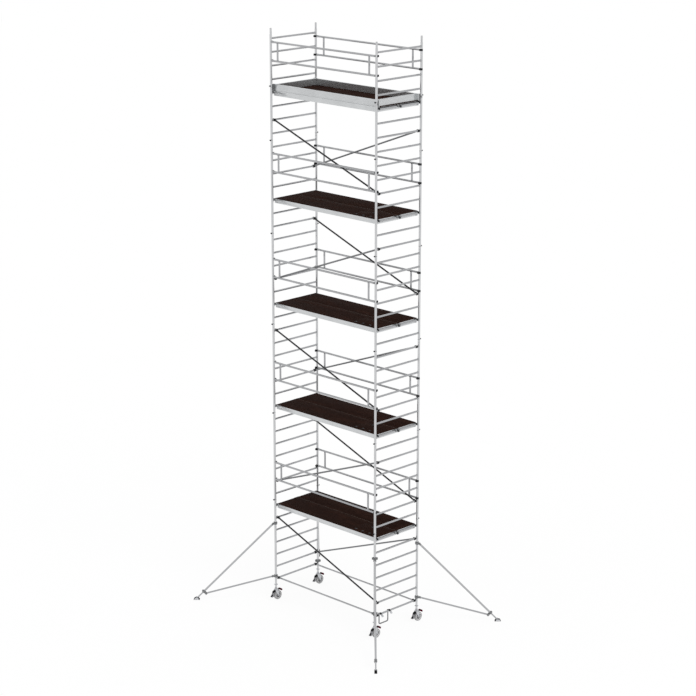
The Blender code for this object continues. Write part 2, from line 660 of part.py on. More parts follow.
def make_outrigger_leg(corner, place, foot, tube_end, down):
    """Inner tube with its foot; it rests pulled out and slides up into the arm."""
    leg = bmesh.new()
    add_rod(leg, place @ (tube_end - down * LEG_OVERLAP), place @ foot, OUTRIGGER_LEG_RADIUS, POST_SIDES)
    block = bmesh.new()
    outline = ((-FOOT_LENGTH / 2, 0), (FOOT_LENGTH / 2, 0), (FOOT_LENGTH / 2, FOOT_EDGE),
               (FOOT_TOP_LENGTH / 2, FOOT_HEIGHT), (-FOOT_TOP_LENGTH / 2, FOOT_HEIGHT),
               (-FOOT_LENGTH / 2, FOOT_EDGE))
    quarter = Matrix.Rotation(-math.pi / 2, 4, "Z")
    add_plate(block, outline, FOOT_WIDTH, place @ Matrix.Translation((foot.x, 0, 0)) @ quarter)
    make_part(f"outrigger_leg_{corner}", STEEL, leg, join(block), pivot=place @ foot)


# Access step

def make_step():
    """Stirrup step of bent tube whose two open hooks ride on the lowest rung of the right end."""
    axis = FIRST_RUNG_HEIGHT
    start = -HALF_WIDTH + STEP_POST_DISTANCE
    end = start + STEP_WIDTH
    bottom = axis - STEP_DROP
    hole = clear_radius(RUNG_RADIUS, ROUND_SIDES)
    outer = hole + STEP_HOOK_WALL
    hang = HALF_LENGTH - hole - FIT_GAP - STEP_TUBE_RADIUS
    hooks = bmesh.new()
    mouths = bmesh.new()
    tails = bmesh.new()
    legs = bmesh.new()
    rung = bmesh.new()
    reach = STEP_HOOK_WIDTH / 2
    side = Vector((0, reach, 0))
    slant = Matrix.Rotation(-math.radians(STEP_TAIL_SLANT), 4, "Y")
    for across in (start, end):
        middle = Vector((HALF_LENGTH, across, axis))
        place = Matrix.Translation(middle)
        add_rod(hooks, middle - side, middle + side, outer, ROUND_SIDES)
        add_box(mouths, (-2 * outer, -2 * reach, -2 * outer), (2 * outer, 2 * reach, 0), place)
        add_box(tails, (hole, FIT_GAP - reach, -STEP_TAIL_LENGTH), (outer, reach - FIT_GAP, 0),
                place @ slant)
        add_rod(legs, (hang, across, bottom), (hang, across, axis + STEP_HOOK_WALL), STEP_TUBE_RADIUS,
                POST_SIDES, up=(1, 0, 0))
        add_rod(rung, middle - 2 * side, middle + 2 * side, hole, ROUND_SIDES)
    tread = bmesh.new()
    add_rod(tread, (hang, start - STEP_TUBE_RADIUS, bottom), (hang, end + STEP_TUBE_RADIUS, bottom),
            STEP_TUBE_RADIUS, POST_SIDES)
    make_part("access_step", STEEL, hooks, cut(mouths), join(tails), join(legs), join(tread), cut(rung),
              pivot=(HALF_LENGTH, (start + end) / 2, axis))


def main():
    """Build every piece of the tower."""
    clear_scene()
    for index in range(len(FRAME_RUNGS)):
        make_frame("left", -1, index)
        make_frame("right", 1, index)
    for level, rung in enumerate(PLATFORM_RUNGS, 1):
        make_platform(level, rung)
        make_hatch(level, rung)
        heights = TOP_RAIL_HEIGHTS if rung == PLATFORM_RUNGS[-1] else GUARD_RAIL_HEIGHTS
        make_guardrail(f"guardrail_front_{level}", -1, rung, heights)
        make_guardrail(f"guardrail_back_{level}", 1, rung, heights)
    make_toe_boards()
    for corner, side_x, side_y in CORNERS:
        make_caster(corner, side_x, side_y)
        make_outrigger(corner, side_x, side_y)
    make_step()


main()
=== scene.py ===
"""Looks of an aluminium mobile tower scaffold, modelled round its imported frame.

Lengths are metres and +Z is up. +X runs along the platforms and +Y along the rungs. Every piece is modelled
in place, in the frame's own coordinates, and rides on the body that carries it.
"""
import math

import bmesh
import bpy
from bmesh.types import BMEdge, BMVert
from bpy.props import FloatProperty, FloatVectorProperty, PointerProperty
from mathutils import Matrix, Vector


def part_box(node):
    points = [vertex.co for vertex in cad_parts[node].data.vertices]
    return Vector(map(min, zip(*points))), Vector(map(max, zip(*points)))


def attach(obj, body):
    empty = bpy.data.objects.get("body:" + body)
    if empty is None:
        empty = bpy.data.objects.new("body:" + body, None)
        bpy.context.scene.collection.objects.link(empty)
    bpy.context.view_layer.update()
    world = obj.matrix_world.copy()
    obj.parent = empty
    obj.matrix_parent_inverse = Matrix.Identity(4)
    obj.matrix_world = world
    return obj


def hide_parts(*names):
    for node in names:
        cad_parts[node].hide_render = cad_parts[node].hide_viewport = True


bl_info = {
    "name": "Mobile Tower Scaffold",
    "version": (1, 0, 0),
    "blender": (4, 5, 0),
    "location": "3D View > Sidebar > Tower",
    "description": "Dresses the packed frame of a mobile tower scaffold and sets up its studio",
    "category": "Object",
}

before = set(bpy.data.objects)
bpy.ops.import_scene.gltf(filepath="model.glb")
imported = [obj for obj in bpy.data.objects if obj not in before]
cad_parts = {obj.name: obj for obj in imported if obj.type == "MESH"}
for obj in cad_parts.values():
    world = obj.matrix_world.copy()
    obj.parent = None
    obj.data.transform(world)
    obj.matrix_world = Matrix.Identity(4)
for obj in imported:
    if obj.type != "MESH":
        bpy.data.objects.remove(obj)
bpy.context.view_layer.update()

# Layout, read from the frame where it shows there
POST_SPOT = sum(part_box("caster_leg_right_back"), Vector()) / 2
HALF_LENGTH = POST_SPOT.x
HALF_WIDTH = POST_SPOT.y
RUNG_PITCH = 0.28
DECK_RISE = 0.045
FRAME_RUNGS = (7, 7, 7, 7, 7, 4, 4)
PLATFORM_RUNGS = (6, 14, 22, 30, 38)
LEVELS = range(1, len(PLATFORM_RUNGS) + 1)
DIAGONAL_RUNGS = ((5, 1), (8, 12), (20, 16), (24, 28), (36, 32))
FIRST_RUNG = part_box("platform_level_1")[1].z - DECK_RISE - PLATFORM_RUNGS[0] * RUNG_PITCH
POST_ABOVE_RUNG = 0.08
FIT_GAP = 0.0003
POST_BELOW_RUNG = RUNG_PITCH - POST_ABOVE_RUNG - FIT_GAP
STEM_TOP = FIRST_RUNG - 0.05
NUT_HEIGHT = FIRST_RUNG - 0.14
SIDES = (-1, 1)
ENDS = (("left", -1), ("right", 1))
FACES = (("front", -1), ("back", 1))
CORNERS = [(f"{end}_{face}", x, y) for end, x in ENDS for face, y in FACES]


def length(name, text, value):
    """Length that a user may change."""
    return FloatProperty(name=name, description=text, default=value, min=0.0001, precision=4, unit="LENGTH")


def paint(name, text, value):
    """Colour that a user may change."""
    return FloatVectorProperty(name=name, description=text, default=value, size=3, min=0, max=1,
                               subtype="COLOR")


class TowerSizes(bpy.types.PropertyGroup):
    """Sizes of the tower's visible pieces"""
    post_radius: length("Post radius", "Outside radius of the ladder posts", 0.0246)
    post_wall: length("Post wall", "Wall of the ladder posts", 0.0034)
    spigot_radius: length("Spigot radius", "Outside radius of the spigots on the top frames", 0.0208)
    spigot_rise: length("Spigot rise", "Height of a spigot above its post", 0.125)
    stem_radius: length("Stem radius", "Outside radius of the sleeves below the lowest rungs", 0.0217)
    rung_radius: length("Rung radius", "Outside radius of the fluted rungs", 0.02)
    flute_depth: length("Flute depth", "Depth of the grip flutes along a rung", 0.0008)
    brace_radius: length("Brace radius", "Outside radius of the brace tubes", 0.0175)
    brace_inset: length("Brace inset", "Distance of the braces from the post axes", 0.075)
    deck_thickness: length("Deck thickness", "Thickness of the deck boards between the rails", 0.024)
    deck_edge: length("Deck edge", "Thickness of the deck boards over the rails", 0.0105)
    side_rail_width: length("Side rail width", "Width of the platform side rails", 0.03)
    hatch_thickness: length("Trapdoor thickness", "Thickness of the trapdoor lids", 0.012)
    rail_radius: length("Guardrail radius", "Outside radius of the guardrail tubes", 0.0205)
    upright_radius: length("Upright radius", "Outside radius of the guardrail uprights", 0.0195)
    front_inset: length("Front upright inset", "Distance of the front uprights from the post axes", 0.2)
    back_inset: length("Back upright inset", "Distance of the back uprights from the post axes", 0.236)
    toe_thickness: length("Toe board thickness", "Thickness of the toe boards", 0.025)
    wheel_radius: length("Wheel radius", "Radius of the caster wheels", 0.1)
    caster_trail: length("Caster trail", "Distance of the wheel axle behind the swivel axis", 0.05)
    outrigger_radius: length("Outrigger radius", "Outside radius of the outrigger tubes", 0.0212)
    leg_radius: length("Inner leg radius", "Outside radius of the telescopic legs", 0.0153)
    strut_radius: length("Strut radius", "Outside radius of the lower struts", 0.018)
    step_radius: length("Step radius", "Radius of the access step's bent tube", 0.0125)


class TowerColours(bpy.types.PropertyGroup):
    """Colours of the tower's finishes"""
    aluminium: paint("Aluminium", "Mill finish of the tubes", (0.565, 0.57, 0.58))
    # Painted shade: the rail colour is the posts' aluminium made darker. It stands in for the darker
    # reflections that the horizontal tubes show, not for a duller metal
    rail: paint("Rail", "Duller mill finish of the rungs and rails", (0.395, 0.4, 0.41))
    # Painted shade: the brace and falling-brace colours are the posts' aluminium made darker, grey for
    # rising braces and near black for falling ones. They stand in for the darker reflections that each slope
    # shows, not for weathering
    brace: paint("Brace", "Grey finish of the rising braces", (0.21, 0.214, 0.22))
    outrigger: paint("Outrigger", "Mill finish of the outrigger tubes", (0.445, 0.45, 0.46))
    dark_brace: paint("Dark brace", "Weathered finish of the falling braces", (0.042, 0.043, 0.045))
    extrusion: paint("Extrusion", "Finish of the platform rails and toe boards", (0.585, 0.597, 0.605))
    deck: paint("Deck", "Film of the deck boards", (0.0198, 0.0092, 0.0068))
    seam: paint("Seam", "Rubber strip between the two deck boards", (0.075, 0.055, 0.045))
    casting: paint("Casting", "Dark castings of claws, clips and hooks", (0.022, 0.023, 0.025))
    coupler: paint("Coupler", "Grey steel of the couplers, clamps and step", (0.235, 0.24, 0.245))
    zinc: paint("Zinc", "Plating of the casters, nuts and saddles", (0.55, 0.56, 0.58))
    wheel: paint("Wheel", "Moulded wheel centres", (0.56, 0.56, 0.56))
    tyre: paint("Tyre", "Wheel treads", (0.32, 0.32, 0.325))
    # Painted shade: the webs' dark grey stands in for the shade in their recess between hub and rim
    web: paint("Wheel web", "Recessed webs of the wheels", (0.12, 0.12, 0.125))
    pedal: paint("Pedal", "Pressed steel of the brake pedals", (0.27, 0.27, 0.28))
    plastic: paint("Plastic", "Black rockers of the brakes", (0.009, 0.009, 0.0095))
    release: paint("Release pad", "Dark red release pads of the brakes", (0.055, 0.0008, 0.008))
    rubber: paint("Rubber", "Outrigger feet", (0.007, 0.007, 0.0075))
    floor: paint("Floor", "Studio floor", (0.93, 0.93, 0.93))


# Modelling helpers

MERGE_DISTANCE = 1e-6
SHARP_ANGLE = math.radians(30)
SMOOTH_ANGLE = math.radians(38)


def rung_height(rung):
    """Height of a rung's axis, counted from the lowest rung."""
    return FIRST_RUNG + rung * RUNG_PITCH


def at(x=0.0, y=0.0, z=0.0):
    """Matrix that moves a shape to a point."""
    return Matrix.Translation((x, y, z))


def turn(degrees, axis="Z"):
    """Matrix that turns a shape about one of its axes."""
    return Matrix.Rotation(math.radians(degrees), 4, axis)


def along(start, end, up=(0, 0, 1)):
    """Matrix whose Z runs from start towards end, whose X leans to up and whose origin is start."""
    axis_z = (Vector(end) - Vector(start)).normalized()
    axis_y = axis_z.cross(Vector(up)).normalized()
    axis_x = axis_y.cross(axis_z)
    return at(*start) @ Matrix((axis_x, axis_y, axis_z)).transposed().to_4x4()


def extent(side, near, far):
    """Low and high end of a stretch that runs from near to far on one side of an axis."""
    return sorted((side * near, side * far))


def both_ends(place, distance):
    """Two places that face out along the place's Z, each at this distance from its origin."""
    return place @ at(z=distance), place @ turn(180, "X") @ at(z=distance)


def mirrored(half):
    """Closed profile made of one half and that half's mirror image."""
    return half + [(radius, -height) for radius, height in reversed(half)]


def picked(geom, kind):
    """Items of one kind out of the geometry that an operator returns."""
    return [item for item in geom if isinstance(item, kind)]


def copy_into(bm, part, places):
    """Put a copy of a part into bm at each place, with its faces pointing out, and free it."""
    bmesh.ops.remove_doubles(part, verts=part.verts, dist=MERGE_DISTANCE)
    bmesh.ops.recalc_face_normals(part, faces=part.faces)
    shape = bpy.data.meshes.new("shape")
    part.to_mesh(shape)
    part.free()
    for place in places or (Matrix(),):
        placed = shape.copy()
        placed.transform(place)
        bm.from_mesh(placed)
        bpy.data.meshes.remove(placed)
    bpy.data.meshes.remove(shape)


def soften(part, width, segments=2):
    """Round the sharp edges of a part."""
    edges = [edge for edge in part.edges if edge.is_manifold and edge.calc_face_angle(0) > SHARP_ANGLE]
    bmesh.ops.bevel(part, geom=edges, offset=width, segments=segments, profile=0.5, affect="EDGES",
                    material=-1, clamp_overlap=True)


def lathe(bm, profile, *places, sides=24, ring=False):
    """Turn a profile of (radius, height) points about Z; a ring's profile is closed, others get end caps."""
    part = bmesh.new()
    points = [part.verts.new((radius, 0, height)) for radius, height in profile]
    edges = [part.edges.new(pair) for pair in zip(points, points[1:])]
    if ring:
        edges.append(part.edges.new((points[-1], points[0])))
    bmesh.ops.spin(part, geom=points + edges, axis=(0, 0, 1), cent=(0, 0, 0), angle=2 * math.pi, steps=sides,
                   use_merge=True)
    if not ring:
        rims = [edge for edge in part.edges if edge.is_boundary]
        bmesh.ops.holes_fill(part, edges=rims, sides=0)
    copy_into(bm, part, places)


def rod(bm, start, end, radius, sides=16, edge=0.001):
    """Solid rod with chamfered ends."""
    span = (Vector(end) - Vector(start)).length
    profile = ((radius - edge, 0), (radius, edge), (radius, span - edge), (radius - edge, span))
    up = (0, 0, 1) if abs((Vector(end) - Vector(start)).normalized().z) < 0.95 else (1, 0, 0)
    lathe(bm, profile, along(start, end, up), sides=sides)


def pipe(bm, place, outer, inner, low, high, sides=24, edge=0.001):
    """Hollow tube along the place's Z with chamfered rims."""
    profile = ((outer - edge, low), (outer, low + edge), (outer, high - edge), (outer - edge, high),
               (inner, high), (inner, low))
    lathe(bm, profile, place, sides=sides, ring=True)


def bead(bm, radius, size, *places, sides=14):
    """Round ring about Z, such as a weld bead or a spring wire."""
    points = [(radius + size * math.cos(math.radians(a)), size * math.sin(math.radians(a)))
              for a in range(0, 360, 72)]
    lathe(bm, points, *places, sides=sides, ring=True)


def block(bm, low, high, *places, edge=0.0015, segments=2):
    """Box between two corners with rounded edges."""
    low, high = Vector(low), Vector(high)
    part = bmesh.new()
    bmesh.ops.create_cube(part, size=1, matrix=at(*((low + high) / 2)) @ Matrix.Diagonal((*(high - low), 1)))
    soften(part, edge, segments)
    copy_into(bm, part, places)


def plate(bm, outline, thickness, *places, edge=0.001, segments=1):
    """Flat outline of (y, z) points, made half of the thickness thick each way along X and softened."""
    part = bmesh.new()
    face = part.faces.new([part.verts.new((-thickness / 2, y, z)) for y, z in outline])
    grown = bmesh.ops.extrude_face_region(part, geom=[face])["geom"]
    bmesh.ops.translate(part, verts=picked(grown, BMVert), vec=(thickness, 0, 0))
    bmesh.ops.recalc_face_normals(part, faces=part.faces)
    if edge:
        soften(part, edge, segments)
    copy_into(bm, part, places)


def jaw(bm, inner, outer, width, opening, *places, steps=16):
    """C-shaped jaw about Z whose opening, in degrees, is centred on local +X."""
    part = bmesh.new()
    corners = ((inner, -width / 2), (outer, -width / 2), (outer, width / 2), (inner, width / 2))
    part.faces.new([part.verts.new((x, 0, z)) for x, z in corners])
    half = math.radians(opening) / 2
    bmesh.ops.rotate(part, verts=part.verts, matrix=Matrix.Rotation(half, 3, "Z"))
    geom = part.verts[:] + part.edges[:] + part.faces[:]
    bmesh.ops.spin(part, geom=geom, axis=(0, 0, 1), cent=(0, 0, 0), angle=2 * (math.pi - half), steps=steps)
    bmesh.ops.recalc_face_normals(part, faces=part.faces)
    soften(part, 0.0012, 1)
    copy_into(bm, part, places)


def hex_head(bm, radius, height, *places):
    """Six-sided bolt head or nut that stands on local Z, with a chamfered top."""
    part = bmesh.new()
    bmesh.ops.create_cone(part, cap_ends=True, segments=6, radius1=radius, radius2=radius, depth=height,
                          matrix=at(z=height / 2))
    soften(part, min(0.12 * radius, 0.2 * height), 1)
    copy_into(bm, part, places)


def bent_tube(bm, points, radius, bend, sides=16, steps=6):
    """Round tube that follows straight runs with rounded bends between them."""
    points = [Vector(point) for point in points]
    part = bmesh.new()
    ring = bmesh.ops.create_circle(part, segments=sides, radius=radius,
                                   matrix=along(points[0], points[1], (1, 0, 0)))["verts"]
    edges = list({edge for vert in ring for edge in vert.link_edges})
    here = points[0]
    for index in range(1, len(points)):
        ahead = (points[index] - points[index - 1]).normalized()
        onward = ahead if index == len(points) - 1 else (points[index + 1] - points[index]).normalized()
        angle = ahead.angle(onward)
        stop = points[index] - ahead * bend * math.tan(angle / 2)
        grown = bmesh.ops.extrude_edge_only(part, edges=edges)["geom"]
        verts, edges = picked(grown, BMVert), picked(grown, BMEdge)
        bmesh.ops.translate(part, verts=verts, vec=stop - here)
        if angle > 0.01:
            inward = (onward - ahead * onward.dot(ahead)).normalized()
            bent = bmesh.ops.spin(part, geom=verts + edges, axis=ahead.cross(onward),
                                  cent=stop + inward * bend, angle=angle, steps=steps)["geom_last"]
            edges = picked(bent, BMEdge)
            here = points[index] + onward * bend * math.tan(angle / 2)
    rims = [edge for edge in part.edges if edge.is_boundary]
    bmesh.ops.holes_fill(part, edges=rims, sides=0)
    copy_into(bm, part, ())


def panel(bm, xs, ys, top, thickness, hole=None, edge=0.0015):
    """Flat board on a grid of x and y lines; the cell that hole names, if any, is left open."""
    part = bmesh.new()
    bmesh.ops.create_grid(part, x_segments=len(xs) - 1, y_segments=len(ys) - 1, size=0.5)
    for vert in part.verts:
        column = round((vert.co.x + 0.5) * (len(xs) - 1))
        row = round((vert.co.y + 0.5) * (len(ys) - 1))
        vert.co = (xs[column], ys[row], top)
    if hole:
        middle = Vector(((xs[hole[0]] + xs[hole[0] + 1]) / 2, (ys[hole[1]] + ys[hole[1] + 1]) / 2, top))
        cell = min(part.faces, key=lambda face: (face.calc_center_median() - middle).length)
        bmesh.ops.delete(part, geom=[cell], context="FACES")
    grown = bmesh.ops.extrude_face_region(part, geom=part.faces[:], use_keep_orig=True)["geom"]
    bmesh.ops.translate(part, verts=picked(grown, BMVert), vec=(0, 0, -thickness))
    bmesh.ops.recalc_face_normals(part, faces=part.faces)
    soften(part, edge, 2)
    copy_into(bm, part, ())


def piece(name, bm, finish, body, slot, *nodes):
    """Make a shown piece that rides on a body and stands for the named nodes; the slot argument is not used.
    """
    mesh = bpy.data.meshes.new(name)
    bm.to_mesh(mesh)
    bm.free()
    mesh.shade_smooth()
    mesh.set_sharp_from_angle(angle=SMOOTH_ANGLE)
    mesh.materials.append(material_for(finish))
    obj = bpy.data.objects.new(name, mesh)
    bpy.context.scene.collection.objects.link(obj)
    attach(obj, body)
    if nodes:
        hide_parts(*nodes)


# Finishes

# Sockets of a Mix node that mixes colours
MIX_FACTOR, MIX_FIRST, MIX_SECOND, MIX_COLOUR = 0, 6, 7, 2


def node(tree, kind, links=(), **values):
    """New shader node with linked inputs, given as (input, socket) pairs, and set values."""
    made = tree.nodes.new(kind)
    for name, value in values.items():
        if name in made.inputs:
            made.inputs[name].default_value = value
        else:
            setattr(made, name, value)
    for name, socket in links:
        tree.links.new(socket, made.inputs[name])
    return made


def pattern(tree, scale, detail=3.0, stretch=(1, 1, 1)):
    """Noise on the piece's own coordinates, stretched along its axes."""
    coords = tree.nodes.new("ShaderNodeTexCoord")
    mapping = node(tree, "ShaderNodeMapping", [("Vector", coords.outputs["Object"])], Scale=stretch)
    noise = node(tree, "ShaderNodeTexNoise", [("Vector", mapping.outputs["Vector"])], Scale=scale,
                 Detail=detail)
    return noise.outputs["Fac"]


def spread(tree, factor, low, high, start=0.3, stop=0.7):
    """Spread a pattern's middle range over the values from low to high."""
    ranged = node(tree, "ShaderNodeMapRange", [("Value", factor)])
    for name, value in (("From Min", start), ("From Max", stop), ("To Min", low), ("To Max", high)):
        ranged.inputs[name].default_value = value
    return ranged.outputs["Result"]


def tint(tree, factor, first, second):
    """Colour that runs with a factor from the first, which may be a socket, to the second."""
    mixed = tree.nodes.new("ShaderNodeMix")
    mixed.data_type = "RGBA"
    tree.links.new(factor, mixed.inputs[MIX_FACTOR])
    if isinstance(first, bpy.types.NodeSocket):
        tree.links.new(first, mixed.inputs[MIX_FIRST])
    else:
        mixed.inputs[MIX_FIRST].default_value = (*first, 1)
    mixed.inputs[MIX_SECOND].default_value = (*second, 1)
    return mixed.outputs[MIX_COLOUR]


def larger(tree, first, second):
    """The larger of two values."""
    most = node(tree, "ShaderNodeMath", [(0, first), (1, second)], operation="MAXIMUM")
    return most.outputs["Value"]


def relief(tree, shader, height, strength, distance):
    """Bump on a shader."""
    bump = node(tree, "ShaderNodeBump", [("Height", height)], Strength=strength, Distance=distance)
    tree.links.new(bump.outputs["Normal"], shader.inputs["Normal"])


def shade(colour, factor):
    """Colour made lighter or darker by a factor."""
    return tuple(min(1.0, channel * factor) for channel in colour)


def mill_finish(tree, shader, colour, stretch, rough, depth=0.06, metallic=1.0):
    """Bare aluminium: faint drawing lines along the metal and dull handling patches."""
    patches = pattern(tree, 3.5, 4.0)
    lines = pattern(tree, 60.0, 2.0, stretch)
    tree.links.new(tint(tree, spread(tree, patches, 0, 1), shade(colour, 0.96), shade(colour, 1.03)),
                   shader.inputs["Base Color"])
    tree.links.new(spread(tree, patches, 1.25 * rough, 0.8 * rough), shader.inputs["Roughness"])
    relief(tree, shader, lines, depth, 0.0004)
    shader.inputs["Metallic"].default_value = metallic


def dressed_metal(tree, shader, colour, rough, metallic):
    """Cast or plated steel with a fine grain and small stains."""
    grain = pattern(tree, 420.0, 3.0)
    stains = pattern(tree, 22.0, 5.0)
    tree.links.new(tint(tree, spread(tree, stains, 0, 1), shade(colour, 0.78), shade(colour, 1.15)),
                   shader.inputs["Base Color"])
    tree.links.new(spread(tree, stains, rough - 0.07, rough + 0.1), shader.inputs["Roughness"])
    relief(tree, shader, grain, 0.12, 0.0004)
    shader.inputs["Metallic"].default_value = metallic
    shader.inputs["Specular IOR Level"].default_value = 0.1


def moulded(tree, shader, colour, rough, gloss=0.35):
    """Moulded plastic or rubber with a fine spark texture and dusty patches."""
    spark = pattern(tree, 900.0, 2.0)
    dust = pattern(tree, 14.0, 5.0)
    tree.links.new(tint(tree, spread(tree, dust, 0, 1, 0.4, 0.75), colour, shade(colour, 1.35)),
                   shader.inputs["Base Color"])
    tree.links.new(spread(tree, dust, rough - 0.06, rough + 0.1), shader.inputs["Roughness"])
    relief(tree, shader, spark, 0.1, 0.0003)
    shader.inputs["Specular IOR Level"].default_value = gloss


def deck_film(tree, shader, colour):
    """Brown phenolic film with a pressed wire-mesh grip, scuffed where people walk."""
    coords = tree.nodes.new("ShaderNodeTexCoord").outputs["Object"]
    bands = [node(tree, "ShaderNodeTexWave", [("Vector", coords)], bands_direction=axis, Scale=45.0)
             for axis in ("X", "Y")]
    mesh = larger(tree, *(band.outputs["Fac"] for band in bands))
    scuffs = spread(tree, pattern(tree, 2.2, 6.0, (1, 2.2, 1)), 0, 1, 0.48, 0.72)
    cloud = spread(tree, pattern(tree, 9.0, 4.0), 0, 1)
    base = tint(tree, cloud, shade(colour, 0.8), shade(colour, 1.2))
    tree.links.new(tint(tree, scuffs, base, shade(colour, 1.6)), shader.inputs["Base Color"])
    tree.links.new(spread(tree, scuffs, 0.65, 0.8, 0, 1), shader.inputs["Roughness"])
    relief(tree, shader, mesh, 0.25, 0.0005)
    shader.inputs["Specular IOR Level"].default_value = 0.005


# Each finish: its maker, the name of its colour and the maker's other values
FINISHES = {
    "upright_tube": (mill_finish, "aluminium", (6, 6, 0.1), 0.08),
    # The cross and long tubes take the rail colour, a darker copy of the posts' aluminium: painted shade for
    # the darker reflections of horizontal tubes
    "cross_tube": (mill_finish, "rail", (6, 0.1, 6), 0.08),
    "long_tube": (mill_finish, "rail", (0.1, 6, 6), 0.08),
    # Rising and falling braces: darker copies of the mill finish, painted shade for the reflections of each
    # slope
    "brace_tube": (mill_finish, "brace", (0.1, 6, 6), 0.1),
    "dark_brace_tube": (mill_finish, "dark_brace", (0.1, 6, 6), 0.12),
    "arm_tube": (mill_finish, "outrigger", (6, 6, 6), 0.1),
    "extrusion": (mill_finish, "extrusion", (0.05, 8, 8), 0.2, 0.02, 0.8),
    "dark_casting": (dressed_metal, "casting", 0.5, 0.0),
    "grey_coupler": (dressed_metal, "coupler", 0.42, 0.8),
    "zinc_plate": (dressed_metal, "zinc", 0.34, 1.0),
    "pressed_steel": (dressed_metal, "pedal", 0.3, 1.0),
    "seam_rubber": (moulded, "seam", 0.7, 0.1),
    "wheel_web": (moulded, "web", 0.55),
    "wheel_moulding": (moulded, "wheel", 0.5),
    "tyre_tread": (moulded, "tyre", 0.6),
    "black_plastic": (moulded, "plastic", 0.48, 0.05),
    "release_plastic": (moulded, "release", 0.45, 0.04),
    "foot_rubber": (moulded, "rubber", 0.75, 0.1),
    "deck_film": (deck_film, "deck"),
}


def material_for(finish):
    """Material of a finish, made the first time that it is asked for."""
    found = bpy.data.materials.get(finish)
    if found:
        return found
    maker, colour, *values = FINISHES[finish]
    material = bpy.data.materials.new(finish)
    material.use_nodes = True
    tree = material.node_tree
    maker(tree, tree.nodes["Principled BSDF"], getattr(bpy.context.scene.tower_colours, colour), *values)
    return material


# Ladder frames and braces

RUNG_END = 0.021
WELD_SIZE = 0.0036
SPIGOT_DEPTH = 0.06
CLIP_RISE = 0.066
BRACE_END = 0.04


def frame_rungs(index):
    """First and last rung of a frame."""
    first = sum(FRAME_RUNGS[:index])
    return first, first + FRAME_RUNGS[index] - 1


def fluted_rungs(bm, sizes, x, heights):
    """Rungs with grip flutes between the two posts of a frame, with a weld bead at each end."""
    part = bmesh.new()
    reach = HALF_WIDTH - RUNG_END
    ring = bmesh.ops.create_circle(part, segments=36, radius=sizes.rung_radius)["verts"]
    groove = 1 - sizes.flute_depth / sizes.rung_radius
    bmesh.ops.scale(part, vec=(groove, groove, 1), verts=ring[::2])
    grown = bmesh.ops.extrude_edge_only(part, edges=part.edges[:])["geom"]
    bmesh.ops.translate(part, verts=picked(grown, BMVert), vec=(0, 0, 2 * reach))
    copy_into(bm, part, [at(x, -reach, height) @ turn(-90, "X") for height in heights])
    welds = [at(x, side * (reach - 0.0015), height) @ turn(90, "X") for height in heights for side in SIDES]
    bead(bm, sizes.rung_radius + 0.0005, WELD_SIZE, *welds)


def joint_clips(bm, sizes, x, height):
    """Locking pins with a spring wire round each post, pointing away from the rungs."""
    for side in SIDES:
        spot = at(x, side * HALF_WIDTH, height)
        bead(bm, sizes.post_radius + 0.002, 0.002, spot @ turn(side * 8, "X"), sides=20)
        pin = spot @ turn(-90 * side, "X")
        lathe(bm, ((0.008, 0.0225), (0.008, 0.036), (0.0125, 0.037), (0.0135, 0.05), (0.009, 0.055)), pin,
              sides=12)
        block(bm, (-0.007, 0.027 * side - 0.004, -0.021), (0.007, 0.027 * side + 0.004, -0.004), spot)


def brace_list():
    """Name, side and two end heights of each brace: front ones start on the left, back ones on the right."""
    braces = []
    for end, side in ENDS:
        for near, far in ((0, 0),) + DIAGONAL_RUNGS:
            index = next(i for i in range(len(FRAME_RUNGS)) if near <= frame_rungs(i)[1])
            braces.append((f"{end}_{index + 1}_{near}", side, rung_height(near), rung_height(far)))
    return braces


